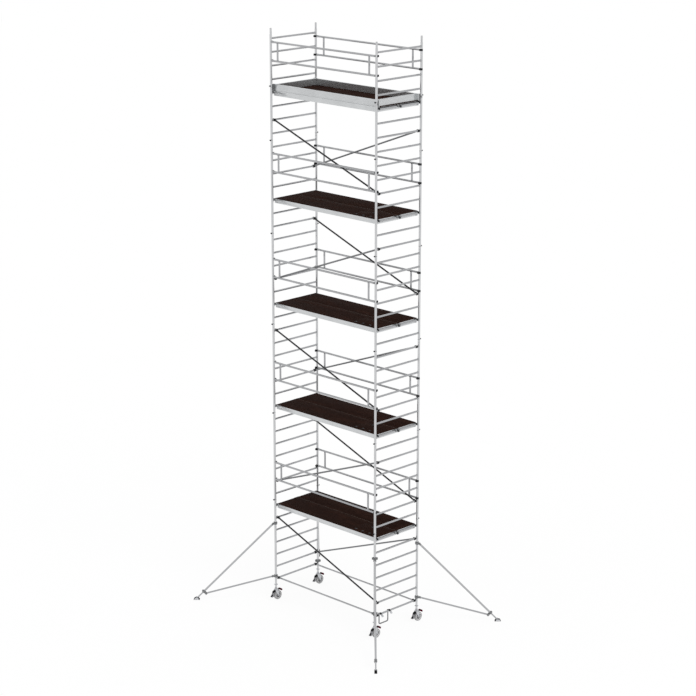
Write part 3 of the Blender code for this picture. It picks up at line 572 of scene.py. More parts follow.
class TOWER_OT_ladder_frames(bpy.types.Operator):
    """Make the ladder frames with their fluted rungs, weld beads, joint clips and adjusting nuts"""
    bl_idname = "tower.ladder_frames"
    bl_label = "Ladder Frames"

    def execute(self, context):
        sizes = context.scene.tower_sizes
        for end, side in ENDS:
            for index in range(len(FRAME_RUNGS)):
                self.make_frame(sizes, end, side * HALF_LENGTH, index)
            self.make_base(sizes, end, side * HALF_LENGTH)
        return {"FINISHED"}

    def make_frame(self, sizes, end, x, index):
        """Two posts, the rungs between them and the clips that lock them to the frame below."""
        first, last = frame_rungs(index)
        bottom = rung_height(first) - POST_BELOW_RUNG
        top = rung_height(last) + POST_ABOVE_RUNG
        posts = bmesh.new()
        bore = sizes.post_radius - sizes.post_wall
        for side in SIDES:
            spot = at(x, side * HALF_WIDTH)
            pipe(posts, spot, sizes.post_radius, bore, bottom if index else STEM_TOP, top, edge=0.0015)
            if not index:
                pipe(posts, spot, sizes.stem_radius, bore, bottom, STEM_TOP + 0.01)
            if index == len(FRAME_RUNGS) - 1:
                pipe(posts, spot, sizes.spigot_radius, sizes.spigot_radius - sizes.post_wall,
                     top - SPIGOT_DEPTH, top + sizes.spigot_rise, edge=0.003)
                bead(posts, sizes.spigot_radius - 0.0015, 0.002, spot @ at(z=top + 0.03), sides=20)
        name = f"{end}_frame_{index + 1}"
        piece(f"{name}_posts", posts, "upright_tube", "tower", "frame_tube", name)
        rungs = bmesh.new()
        fluted_rungs(rungs, sizes, x, [rung_height(rung) for rung in range(first, last + 1)])
        piece(f"{name}_rungs", rungs, "cross_tube", "tower", "frame_tube")
        if index:
            clips = bmesh.new()
            joint_clips(clips, sizes, x, bottom + CLIP_RISE)
            piece(f"{name}_clips", clips, "dark_casting", "tower", "caster_steel")

    def make_base(self, sizes, end, x):
        """Collars at the bottom of the sleeves, and the adjusting nuts with their lugs."""
        collars = bmesh.new()
        nuts = bmesh.new()
        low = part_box(f"{end}_frame_1")[0].z
        bore = sizes.stem_radius - 0.0004
        for side in SIDES:
            spot = at(x, side * HALF_WIDTH, low)
            lathe(collars, ((bore, 0), (0.028, 0), (0.0295, 0.002), (0.0295, 0.016), (0.0265, 0.02),
                            (bore, 0.022)), spot, ring=True)
            nut = at(x, side * HALF_WIDTH, NUT_HEIGHT)
            lathe(nuts, ((bore, -0.014), (0.028, -0.014), (0.0305, -0.011), (0.0305, 0.009), (0.027, 0.013),
                         (bore, 0.015)), nut, ring=True)
            lugs = [nut @ turn(45 + 90 * quarter) for quarter in range(4)]
            block(nuts, (0.028, -0.007, -0.01), (0.039, 0.007, 0.008), *lugs, edge=0.003)
        piece(f"{end}_stem_collars", collars, "zinc_plate", "tower", "caster_steel")
        piece(f"{end}_adjusting_nuts", nuts, "zinc_plate", "tower", "caster_steel")


class TOWER_OT_braces(bpy.types.Operator):
    """Make the horizontal and diagonal braces with a spring claw at each end"""
    bl_idname = "tower.braces"
    bl_label = "Braces"

    def execute(self, context):
        sizes = context.scene.tower_sizes
        for name, side, near, far in brace_list():
            across = side * (HALF_WIDTH - sizes.brace_inset)
            start = Vector((side * HALF_LENGTH, across, near))
            end = Vector((-side * HALF_LENGTH, across, far))
            run = (end - start).normalized()
            tube = bmesh.new()
            rod(tube, start + run * BRACE_END, end - run * BRACE_END, sizes.brace_radius, sides=20)
            # Rising braces get the grey copy and falling braces the near-black copy of the mill finish:
            # painted shade for the darker reflections each slope shows
            finish = "brace_tube" if (near - far) * side > 0 else "dark_brace_tube"
            if near == far:
                finish = "long_tube"
            piece(f"brace_{name}", tube, finish, "tower", "frame_tube")
            claws = bmesh.new()
            for point, ahead in ((start, run), (end, -run)):
                self.make_claw(claws, sizes, point, ahead)
            piece(f"brace_{name}_claws", claws, "dark_casting", "tower", "caster_steel")
        return {"FINISHED"}

    def make_claw(self, bm, sizes, point, ahead):
        """Jaw round the rung, sleeve on the tube's end and thumb trigger above it."""
        place = along(point, point + ahead)
        hole = sizes.rung_radius + 0.0006
        jaw(bm, hole, hole + 0.0115, 0.04, 70, at(*point) @ turn(90, "X") @ turn(90))
        sleeve = sizes.brace_radius + 0.005
        lathe(bm, ((sleeve - 0.0055, 0.02), (sleeve, 0.024), (sleeve, 0.044), (sleeve - 0.003, 0.05),
                   (sleeve - 0.006, 0.051)), place, sides=16)
        block(bm, (-0.022, -0.012, 0.018), (0.022, 0.012, 0.036), place, edge=0.003)
        plate(bm, ((0.016, 0.008), (0.03, 0.012), (0.031, 0.04), (0.026, 0.044), (0.021, 0.03)), 0.014,
              place @ turn(-90))


# Platforms and trapdoors

HOOK_THICKNESS = 0.01
DECK_HALF_LENGTH = 2 * HALF_LENGTH + HOOK_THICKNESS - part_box("platform_level_1")[1].x
DECK_HALF_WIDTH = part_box("platform_level_1")[1].y
SEAM_HALF = 0.004
END_BEAM = 0.04
RAIL_LIP = 0.008
BOARD_GAP = 0.0005
BEARER_HALF = 0.02
BEARER_DEPTH = 0.045
BEARER_SPOTS = (-1.14, -0.76, -0.38, 0.0, 0.42)
HINGE_SHARES = (0.16, 0.5, 0.84)


def hatch_spot(level):
    """Lowest and highest corner of a trapdoor lid."""
    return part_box(f"hatch_level_{level}")


class TOWER_OT_platforms(bpy.types.Operator):
    """Make the platforms: side rails, end beams, bearers, brown boards and rung hooks"""
    bl_idname = "tower.platforms"
    bl_label = "Platforms"

    def execute(self, context):
        sizes = context.scene.tower_sizes
        for level, rung in zip(LEVELS, PLATFORM_RUNGS):
            top = rung_height(rung) + DECK_RISE
            self.make_rails(sizes, level, top)
            self.make_boards(sizes, level, top)
            self.make_hooks(sizes, level, rung_height(rung))
        return {"FINISHED"}

    def make_rails(self, sizes, level, top):
        """Extruded side rails under the boards, beams across the ends, bearers and the seam strip."""
        rails = bmesh.new()
        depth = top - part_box(f"platform_level_{level}")[0].z
        width = sizes.side_rail_width
        under = -sizes.deck_thickness - BOARD_GAP
        over = -sizes.deck_edge - FIT_GAP
        outline = ((0.001, over), (RAIL_LIP, over), (RAIL_LIP, under), (width, under),
                   (width, under - 0.004), (0.006, under - 0.006), (0.006, 0.006 - depth),
                   (width, 0.005 - depth), (width, -depth), (0, -depth), (0, 0.018 - depth),
                   (0.0018, 0.02 - depth), (0.0018, 0.023 - depth), (0, 0.025 - depth), (0, over - 0.001))
        side = at(0, -DECK_HALF_WIDTH, top)
        plate(rails, outline, 2 * DECK_HALF_LENGTH, side, turn(180) @ side, edge=0.0006)
        for half in SIDES:
            inner = extent(half, SEAM_HALF, SEAM_HALF + width)
            block(rails, (END_BEAM - DECK_HALF_LENGTH, inner[0], top + 0.004 - depth),
                  (DECK_HALF_LENGTH - END_BEAM, inner[1], top + under))
            span = extent(half, SEAM_HALF, DECK_HALF_WIDTH - RAIL_LIP)
            for end in SIDES:
                beam = extent(end, DECK_HALF_LENGTH - END_BEAM, DECK_HALF_LENGTH)
                block(rails, (beam[0], span[0], top + 0.001 - depth), (beam[1], span[1], top + over),
                      edge=0.002)
            for x in BEARER_SPOTS:
                block(rails, (x - BEARER_HALF, span[0], top + under - BEARER_DEPTH),
                      (x + BEARER_HALF, span[1], top + under), edge=0.002)
        piece(f"platform_{level}_rails", rails, "extrusion", "tower", "toe_board", f"platform_level_{level}")
        strip = bmesh.new()
        seam = SEAM_HALF - FIT_GAP
        block(strip, (-DECK_HALF_LENGTH, -seam, top - 0.02), (DECK_HALF_LENGTH, seam, top - 0.0004),
              edge=0.0006)
        piece(f"platform_{level}_seam", strip, "seam_rubber", "tower", "deck_board")

    def make_boards(self, sizes, level, top):
        """Front board with its trapdoor opening, plain back board and the ledge that the lid rests on."""
        boards = bmesh.new()
        low, high = hatch_spot(level)
        rim = 0.001
        columns = (low.x - rim, high.x + rim)
        rows = (low.y - rim, high.y + rim, -SEAM_HALF)
        between = DECK_HALF_WIDTH - RAIL_LIP - BOARD_GAP
        inner = DECK_HALF_LENGTH - END_BEAM - BOARD_GAP
        lower = sizes.deck_thickness - sizes.deck_edge
        panel(boards, (-inner, *columns, inner), (-between, *rows), top - sizes.deck_edge, lower, (1, 1))
        panel(boards, (-inner, inner), (SEAM_HALF, between), top - sizes.deck_edge, lower)
        panel(boards, (-DECK_HALF_LENGTH, *columns, DECK_HALF_LENGTH), (-DECK_HALF_WIDTH, *rows), top,
              sizes.deck_edge, (1, 1), edge=0.001)
        panel(boards, (-DECK_HALF_LENGTH, DECK_HALF_LENGTH), (SEAM_HALF, DECK_HALF_WIDTH), top,
              sizes.deck_edge, edge=0.001)
        inset = 0.015
        border = 0.03
        ledge = top - sizes.hatch_thickness - 0.0006
        panel(boards, (low.x - border, low.x + inset, high.x - inset, high.x + border),
              (low.y - border, low.y + inset, high.y - inset, high.y + border), ledge,
              sizes.deck_thickness - sizes.hatch_thickness, (1, 1), edge=0.001)
        piece(f"platform_{level}_boards", boards, "deck_film", "tower", "deck_board")

    def make_hooks(self, sizes, level, axis):
        """Dark corner hooks, plain hooks beside the seam and a dark slanting wind latch between those."""
        corner_hooks = bmesh.new()
        seam_hooks = bmesh.new()
        base = DECK_HALF_LENGTH - 0.03
        seat = sizes.rung_radius + 0.0005
        rim = HALF_LENGTH + sizes.rung_radius + 0.0025
        cover = DECK_RISE - sizes.deck_edge - BOARD_GAP
        outline = ((base, seat), (HALF_LENGTH + 0.006, seat), (rim, 0.006), (rim, -0.006),
                   (rim + 0.009, -0.008), (rim + 0.009, 0.012), (HALF_LENGTH + 0.014, cover), (base, cover))
        latch = ((HALF_LENGTH - 0.004, cover), (rim + 0.008, 0.016), (rim + 0.034, -0.016),
                 (rim + 0.028, -0.022), (rim + 0.002, 0.006), (HALF_LENGTH + 0.012, seat),
                 (HALF_LENGTH - 0.004, seat))
        inner = SEAM_HALF + 0.034
        outer = DECK_HALF_WIDTH - 0.013
        for quarter in (-90, 90):
            for across in SIDES:
                plate(corner_hooks, outline, 0.024, at(0, across * outer, axis) @ turn(quarter))
                plate(seam_hooks, outline, 0.05, at(0, across * inner, axis) @ turn(quarter))
            plate(corner_hooks, latch, 0.05, at(0, 0, axis) @ turn(quarter))
        piece(f"platform_{level}_corner_hooks", corner_hooks, "dark_casting", "tower", "caster_steel")
        piece(f"platform_{level}_seam_hooks", seam_hooks, "grey_coupler", "tower", "caster_steel")


class TOWER_OT_trapdoors(bpy.types.Operator):
    """Make the trapdoor lids with their hinges and flush pull rings"""
    bl_idname = "tower.trapdoors"
    bl_label = "Trapdoors"

    def execute(self, context):
        for level in LEVELS:
            low, high = hatch_spot(level)
            lid = bmesh.new()
            block(lid, low, high, edge=0.0015)
            piece(f"hatch_{level}_lid", lid, "deck_film", f"hatch_{level}", "hatch_board",
                  f"hatch_level_{level}")
            self.make_fittings(level, low, high)
        return {"FINISHED"}

    def make_fittings(self, level, low, high):
        """Screwed hinges along the front edge of a lid and the flush pull ring at its back edge."""
        fittings = bmesh.new()
        knuckle = (low.y + 0.0048, high.z + 0.0008)
        for share in HINGE_SHARES:
            x = low.x + share * (high.x - low.x)
            rod(fittings, (x - 0.03, *knuckle), (x + 0.03, *knuckle), 0.0042, sides=12)
            block(fittings, (x - 0.028, low.y + 0.004, high.z - 0.0004),
                  (x + 0.028, low.y + 0.05, high.z + 0.0014), edge=0.0006)
            screws = [at(x + side * 0.017, low.y + 0.034, high.z + 0.0014) for side in SIDES]
            lathe(fittings, ((0.005, 0), (0.0045, 0.001), (0.0025, 0.0015)), *screws, sides=8)
        grip = at((low.x + high.x) / 2, high.y - 0.06, high.z)
        lathe(fittings, ((0.034, -0.0004), (0.034, 0.0008), (0.032, 0.0014), (0.027, 0.0014),
                         (0.026, 0.0002)), grip, sides=28)
        bead(fittings, 0.021, 0.0022, grip @ at(z=0.0015), sides=24)
        piece(f"hatch_{level}_fittings", fittings, "dark_casting", f"hatch_{level}", "caster_steel")


# Guardrails and toe boards

class TOWER_OT_guardrails(bpy.types.Operator):
    """Make the guardrails: two rails and two welded uprights, with claws that grip the posts"""
    bl_idname = "tower.guardrails"
    bl_label = "Guardrails"

    def execute(self, context):
        sizes = context.scene.tower_sizes
        for (face, side), inset in zip(FACES, (sizes.front_inset, sizes.back_inset)):
            for level in LEVELS:
                self.make_rail(sizes, face, side * HALF_WIDTH, inset, level)
        return {"FINISHED"}

    def make_rail(self, sizes, face, across, inset, level):
        """Rails with sleeved ends, the uprights welded between them, and a claw at each rail's end."""
        low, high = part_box(f"guardrail_{face}_{level}")
        claw = 0.0225
        heights = (low.z + claw, high.z - claw)
        tubes = bmesh.new()
        claws = bmesh.new()
        reach = HALF_LENGTH - sizes.post_radius - 0.012
        sleeve = sizes.rail_radius + 0.0017
        for height in heights:
            rod(tubes, (-reach, across, height), (reach, across, height), sizes.rail_radius, sides=20)
            for end in SIDES:
                spot = at(end * HALF_LENGTH, across, height)
                lathe(tubes, ((sleeve - 0.0022, 0.031), (sleeve, 0.033), (sleeve, 0.07),
                              (sleeve - 0.0022, 0.072)), spot @ turn(-90 * end, "Y"))
                self.make_claw(claws, sizes, spot, -1 if across > 0 else 1)
        for end in SIDES:
            x = end * (HALF_LENGTH - inset)
            gap = sizes.rail_radius - 0.004
            rod(tubes, (x, across, heights[0] + gap), (x, across, heights[1] - gap), sizes.upright_radius,
                sides=18)
            for height, lift in ((heights[0], 1), (heights[1], -1)):
                bead(tubes, sizes.upright_radius + 0.0008, WELD_SIZE,
                     at(x, across, height + lift * (gap + 0.0025)))
        piece(f"guardrail_{face}_{level}_tubes", tubes, "long_tube", "tower", "guard_tube",
              f"guardrail_{face}_{level}")
        piece(f"guardrail_{face}_{level}_claws", claws, "dark_casting", "tower", "caster_steel")

    def make_claw(self, bm, sizes, spot, inward):
        """Jaw round the deck side of the post, with the lock that closes it."""
        jaw(bm, sizes.post_radius + 0.0007, sizes.post_radius + 0.009, 0.042, 170, spot @ turn(-90 * inward))
        deep = extent(inward, 0.029, 0.054)
        block(bm, (-0.019, deep[0], -0.02), (0.019, deep[1], 0.02), spot, edge=0.005, segments=3)
        knob = spot @ turn(-90 * inward, "X") @ at(z=0.053)
        lathe(bm, ((0.011, 0), (0.011, 0.006), (0.008, 0.009)), knob, sides=14)


TOE_END_INSET = 0.036
TOE_GROOVES = (0.112, 0.084, 0.056, 0.028)


class TOWER_OT_toe_boards(bpy.types.Operator):
    """Make the toe boards of the top deck with their corner holders"""
    bl_idname = "tower.toe_boards"
    bl_label = "Toe Boards"

    def execute(self, context):
        sizes = context.scene.tower_sizes
        low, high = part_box("toe_boards")
        self.make_boards(sizes, low, high)
        self.make_holders(sizes, low, high)
        return {"FINISHED"}

    def make_boards(self, sizes, low, high):
        """Grooved boards round the deck, the long ones with a skirt and a lip over the deck's edge."""
        tall = high.z - low.z
        thick = sizes.toe_thickness
        boards = bmesh.new()
        outline = [(0, 0.002), (0.002, 0), (thick - 0.002, 0), (thick, 0.002), (thick, tall - 0.006),
                   (thick - 0.004, tall - 0.0012), (thick / 2, tall), (0.004, tall - 0.0012),
                   (0, tall - 0.006)]
        for groove in TOE_GROOVES:
            outline += [(0, groove + 0.0025), (0.0014, groove + 0.0015), (0.0014, groove - 0.0015),
                        (0, groove - 0.0025)]
        front = at(0, low.y, low.z)
        plate(boards, outline, high.x - low.x, front, turn(180) @ front, edge=0)
        end = turn(90) @ at(0, TOE_END_INSET - DECK_HALF_LENGTH, low.z)
        plate(boards, outline, high.y - low.y - 2 * thick, end, turn(180) @ end, edge=0)
        for y in SIDES:
            skirt = extent(y, high.y - 0.004, DECK_HALF_WIDTH + 0.003)
            block(boards, (low.x, skirt[0], low.z - 0.0002), (high.x, skirt[1], low.z + 0.004), edge=0.0008)
            lip = extent(y, DECK_HALF_WIDTH + 0.0004, DECK_HALF_WIDTH + 0.003)
            block(boards, (low.x, lip[0], low.z - 0.016), (high.x, lip[1], low.z + 0.004), edge=0.0008)
        piece("toe_board_ring", boards, "extrusion", "tower", "toe_board", "toe_boards")

    def make_holders(self, sizes, low, high):
        """Dark bars below the end boards and the clips that hold the long boards to the posts."""
        bars = bmesh.new()
        clips = bmesh.new()
        for x in SIDES:
            bar = extent(x, DECK_HALF_LENGTH + 0.0004, DECK_HALF_LENGTH + 0.006)
            block(bars, (bar[0], -high.y, low.z - 0.03), (bar[1], high.y, low.z - 0.014), edge=0.0015)
            for y in SIDES:
                self.make_clip(clips, sizes, at(x * high.x, y * HALF_WIDTH, low.z), x, y, high.z - low.z)
        piece("toe_board_bars", bars, "dark_casting", "tower", "caster_steel")
        piece("toe_board_clips", clips, "grey_coupler", "tower", "caster_steel")

    def make_clip(self, bm, sizes, spot, x, y, tall):
        """Plate on a long board's end, bolted on and held by a spring jaw round the post."""
        deep = extent(x, 0.0002, 0.006)
        inward = extent(-y, 0.024, 0.066)
        block(bm, (deep[0], inward[0], -0.016), (deep[1], inward[1], tall - 0.002), spot, edge=0.002)
        for height in (0.045, 0.1):
            hex_head(bm, 0.008, 0.005, spot @ at(0.006 * x, -0.052 * y, height) @ turn(90 * x, "Y"))
        jaw(bm, sizes.post_radius + 0.0005, sizes.post_radius + 0.0045, 0.03, 150,
            spot @ at(z=0.07) @ turn(90 * y))


# Casters

FLANGE_DROP = 0.405
THREAD_TURNS = 46
THREAD_PITCH = 0.008


def brake_pin(sizes, spot):
    """Place of the pin on which a caster's brake rocks."""
    return spot @ at(0, sizes.caster_trail - 0.02, 2 * sizes.wheel_radius + 0.016)


class TOWER_OT_casters(bpy.types.Operator):
    """Make the casters: threaded legs, swivel forks, moulded wheels and rocker brakes"""
    bl_idname = "tower.casters"
    bl_label = "Casters"

    def execute(self, context):
        sizes = context.scene.tower_sizes
        for corner, x, y in CORNERS:
            spot = at(x * HALF_LENGTH, y * HALF_WIDTH)
            self.make_leg(corner, spot)
            self.make_fork(sizes, corner, spot)
            self.make_wheel(sizes, corner, spot)
            self.make_brake(sizes, corner, spot)
        return {"FINISHED"}

    def make_leg(self, corner, spot):
        """Threaded stem on a flanged king pin."""
        low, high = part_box(f"caster_leg_{corner}")
        leg = bmesh.new()
        flange = high.z - FLANGE_DROP
        profile = [(0.0118, low.z), (0.0118, flange), (0.0305, flange), (0.032, flange + 0.001),
                   (0.032, flange + 0.004), (0.0305, flange + 0.005), (0.0205, flange + 0.005)]
        for ridge in range(THREAD_TURNS):
            height = flange + 0.012 + THREAD_PITCH * ridge
            profile += [(0.0208, height), (0.0208, height + 0.003), (0.0192, height + 0.004),
                        (0.0192, height + 0.007)]
        profile += [(0.0206, high.z - 0.012), (0.0206, high.z - 0.002), (0.0185, high.z)]
        lathe(leg, profile, spot, sides=20)
        piece(f"caster_{corner}_leg", leg, "zinc_plate", f"leg_{corner}", "caster_steel",
              f"caster_leg_{corner}")

    def make_fork(self, sizes, corner, spot):
        """Swivel head, folded crown, side plates, axle bolt and brake pin."""
        low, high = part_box(f"caster_fork_{corner}")
        fork = bmesh.new()
        radius = sizes.wheel_radius
        trail = sizes.caster_trail
        outer = (high.x - low.x) / 2
        middle = outer - 0.003
        crown = high.z - 0.026
        outline = [(0.04, crown + 0.007), (-0.04, crown + 0.007), (-0.034, crown - 0.03)]
        outline += [(trail + 0.021 * math.cos(math.radians(a)), radius + 0.021 * math.sin(math.radians(a)))
                    for a in range(185, 366, 30)]
        outline += [(0.052, crown - 0.045), (0.042, crown - 0.012)]
        plate(fork, outline, 0.0056, spot @ at(-middle), spot @ at(middle), edge=0.001)
        block(fork, (-outer, -0.04, crown), (outer, 0.04, crown + 0.012), spot, edge=0.004, segments=3)
        lathe(fork, ((0.0127, crown + 0.011), (0.034, crown + 0.011), (0.0345, crown + 0.016),
                     (0.0315, crown + 0.0175), (0.0315, crown + 0.0195), (0.0335, crown + 0.021),
                     (0.032, high.z), (0.0127, high.z)), spot, ring=True, sides=28)
        pins = spot @ at(0, trail, radius) @ turn(90, "Y")
        lathe(fork, ((0.0078, -outer - 0.001), (0.0078, outer + 0.001)), pins, sides=16)
        hex_head(fork, 0.013, 0.007, *both_ends(pins, outer))
        lathe(fork, ((0.015, 0), (0.015, 0.0015)), *both_ends(pins, outer - 0.0003), sides=16)
        rocker = brake_pin(sizes, spot) @ turn(90, "Y")
        lathe(fork, ((0.0048, -outer), (0.0048, outer)), rocker, sides=12)
        lathe(fork, ((0.009, 0), (0.009, 0.002), (0.006, 0.0042)), *both_ends(rocker, outer - 0.0005),
              sides=12)
        piece(f"caster_{corner}_fork", fork, "zinc_plate", f"fork_{corner}", "caster_steel",
              f"caster_fork_{corner}")

    def make_wheel(self, sizes, corner, spot):
        """Moulded rim and hub on a ribbed web darkened with painted shade for its recess, and a crowned
        tread.
        """
        radius = sizes.wheel_radius
        axle = spot @ at(0, sizes.caster_trail, radius) @ turn(90, "Y")
        centre = bmesh.new()
        rim = [(radius - 0.0395, 0.0105), (radius - 0.038, 0.0205), (radius - 0.0355, 0.0225),
               (radius - 0.0265, 0.0225), (radius - 0.025, 0.0195)]
        hub = [(0.0084, 0.0278), (0.0165, 0.0278), (0.0175, 0.0262), (0.0255, 0.0262), (0.027, 0.0245),
               (0.0275, 0.0105)]
        for half in (rim, hub):
            lathe(centre, mirrored(half), axle, ring=True, sides=40)
        piece(f"caster_{corner}_wheel", centre, "wheel_moulding", f"wheel_{corner}", "wheel_tread",
              f"caster_wheel_{corner}")
        # The web's finish is darkened with painted shade for the recess between hub and rim
        web = bmesh.new()
        pipe(web, axle, radius - 0.0388, 0.027, -0.0095, 0.0095, sides=40)
        ribs = [axle @ turn(60 * step) for step in range(6)]
        block(web, (0.0265, -0.003, -0.0195), (radius - 0.0385, 0.003, 0.0195), *ribs, edge=0.0012)
        for side in SIDES:
            pipe(web, axle, radius - 0.0215, radius - 0.0255, *extent(side, 0.014, 0.0222), sides=40)
            pipe(web, axle, 0.0262, 0.0178, *extent(side, 0.024, 0.0272), sides=32)
        piece(f"caster_{corner}_web", web, "wheel_web", f"wheel_{corner}", "wheel_tread")
        tread = bmesh.new()
        shoulder = [(radius - 0.0252, 0.0135), (radius - 0.022, 0.0135), (radius - 0.0212, 0.0235),
                    (radius - 0.017, 0.025), (radius - 0.0065, 0.025), (radius - 0.0032, 0.0235),
                    (radius - 0.0011, 0.019), (radius, 0.011)]
        lathe(tread, mirrored(shoulder), axle, ring=True, sides=48)
        piece(f"caster_{corner}_tyre", tread, "tyre_tread", f"wheel_{corner}", "wheel_tread")

    def make_brake(self, sizes, corner, spot):
        """Black rocker with its knee, the pressed pedal below it and the dark red pad that releases it."""
        pin = brake_pin(sizes, spot)
        rocker = bmesh.new()
        arm = ((0.074, 0.018), (0.056, 0.021), (0.02, 0.0078), (0.006, 0.0098), (-0.006, 0.0098),
               (-0.03, 0.006), (-0.088, 0.0), (-0.098, -0.03), (-0.03, -0.014), (-0.006, -0.0098),
               (0.006, -0.0098), (0.02, -0.006), (0.05, 0.002), (0.074, -0.006))
        plate(rocker, arm, 0.039, pin, edge=0.0014)
        knee = ((-0.07, 0.008), (-0.098, 0.008), (-0.117, -0.002), (-0.125, -0.02), (-0.127, -0.034),
                (-0.121, -0.04), (-0.104, -0.036), (-0.088, -0.024), (-0.07, -0.014))
        plate(rocker, knee, 0.046, pin, edge=0.004, segments=3)
        grip = ((-0.1395, -0.0735), (-0.157, -0.0975), (-0.18, -0.1145), (-0.1785, -0.1175),
                (-0.155, -0.1015), (-0.1365, -0.0765))
        plate(rocker, grip, 0.047, pin, edge=0.0008)
        pedal = bmesh.new()
        cheek = ((-0.126, -0.034), (-0.141, -0.075), (-0.158, -0.098), (-0.177, -0.113), (-0.176, -0.122),
                 (-0.15, -0.128), (-0.112, -0.12), (-0.103, -0.09), (-0.099, -0.036))
        plate(pedal, cheek, 0.005, pin @ at(0.021), pin @ at(-0.021), edge=0.001)
        tread = ((-0.124, -0.036), (-0.137, -0.075), (-0.155, -0.1), (-0.178, -0.116), (-0.177, -0.1235),
                 (-0.168, -0.1235), (-0.149, -0.108), (-0.129, -0.079), (-0.116, -0.038))
        plate(pedal, tread, 0.05, pin, edge=0.0012)
        slope = along(pin @ Vector((0, *tread[1])), pin @ Vector((0, *tread[2])), (0, -1, 0))
        for rib in range(3):
            block(rocker, (0.001, -0.022, 0.002 + 0.01 * rib), (0.0045, 0.022, 0.006 + 0.01 * rib), slope,
                  edge=0.0009)
        piece(f"caster_{corner}_rocker", rocker, "black_plastic", f"brake_{corner}", "brake_plastic",
              f"caster_brake_{corner}")
        piece(f"caster_{corner}_pedal", pedal, "pressed_steel", f"brake_{corner}", "caster_steel")
        pad = bmesh.new()
        wedge = ((0.064, 0.022), (0.07, 0.029), (0.078, 0.028), (0.13, 0.001), (0.136, -0.006),
                 (0.136, -0.033), (0.129, -0.04), (0.118, -0.038), (0.072, -0.013), (0.064, -0.006))
        plate(pad, wedge, 0.056, pin, edge=0.003, segments=2)
        slope = along(pin @ Vector((0, *wedge[2])), pin @ Vector((0, *wedge[3])))
        for rib in range(4):
            block(pad, (-0.0015, -0.023, 0.004 + 0.0135 * rib), (0.0025, 0.023, 0.0105 + 0.0135 * rib),
                  slope, edge=0.0009)
        piece(f"caster_{corner}_release", pad, "release_plastic", f"brake_{corner}", "brake_plastic")


# Outriggers

COUPLER_REACH = 0.034
OUTRIGGER_REACH = 1.735
OUTRIGGER_TOP_LIFT = 1.282
OUTRIGGER_LOW_LIFT = 0.06
LEG_EXPOSED = 0.2
LEG_OVERLAP = 0.45
CLAMP_LENGTH = 0.055
CLAMP_OFFSET = 0.065
FOOT_PIVOT = 0.03
FOOT_WIDTH = 0.0565
SLOT_HEIGHTS = (0.03, 0.075, 0.12)
SOLE_GROOVES = (-0.046, -0.02, 0.02, 0.046)


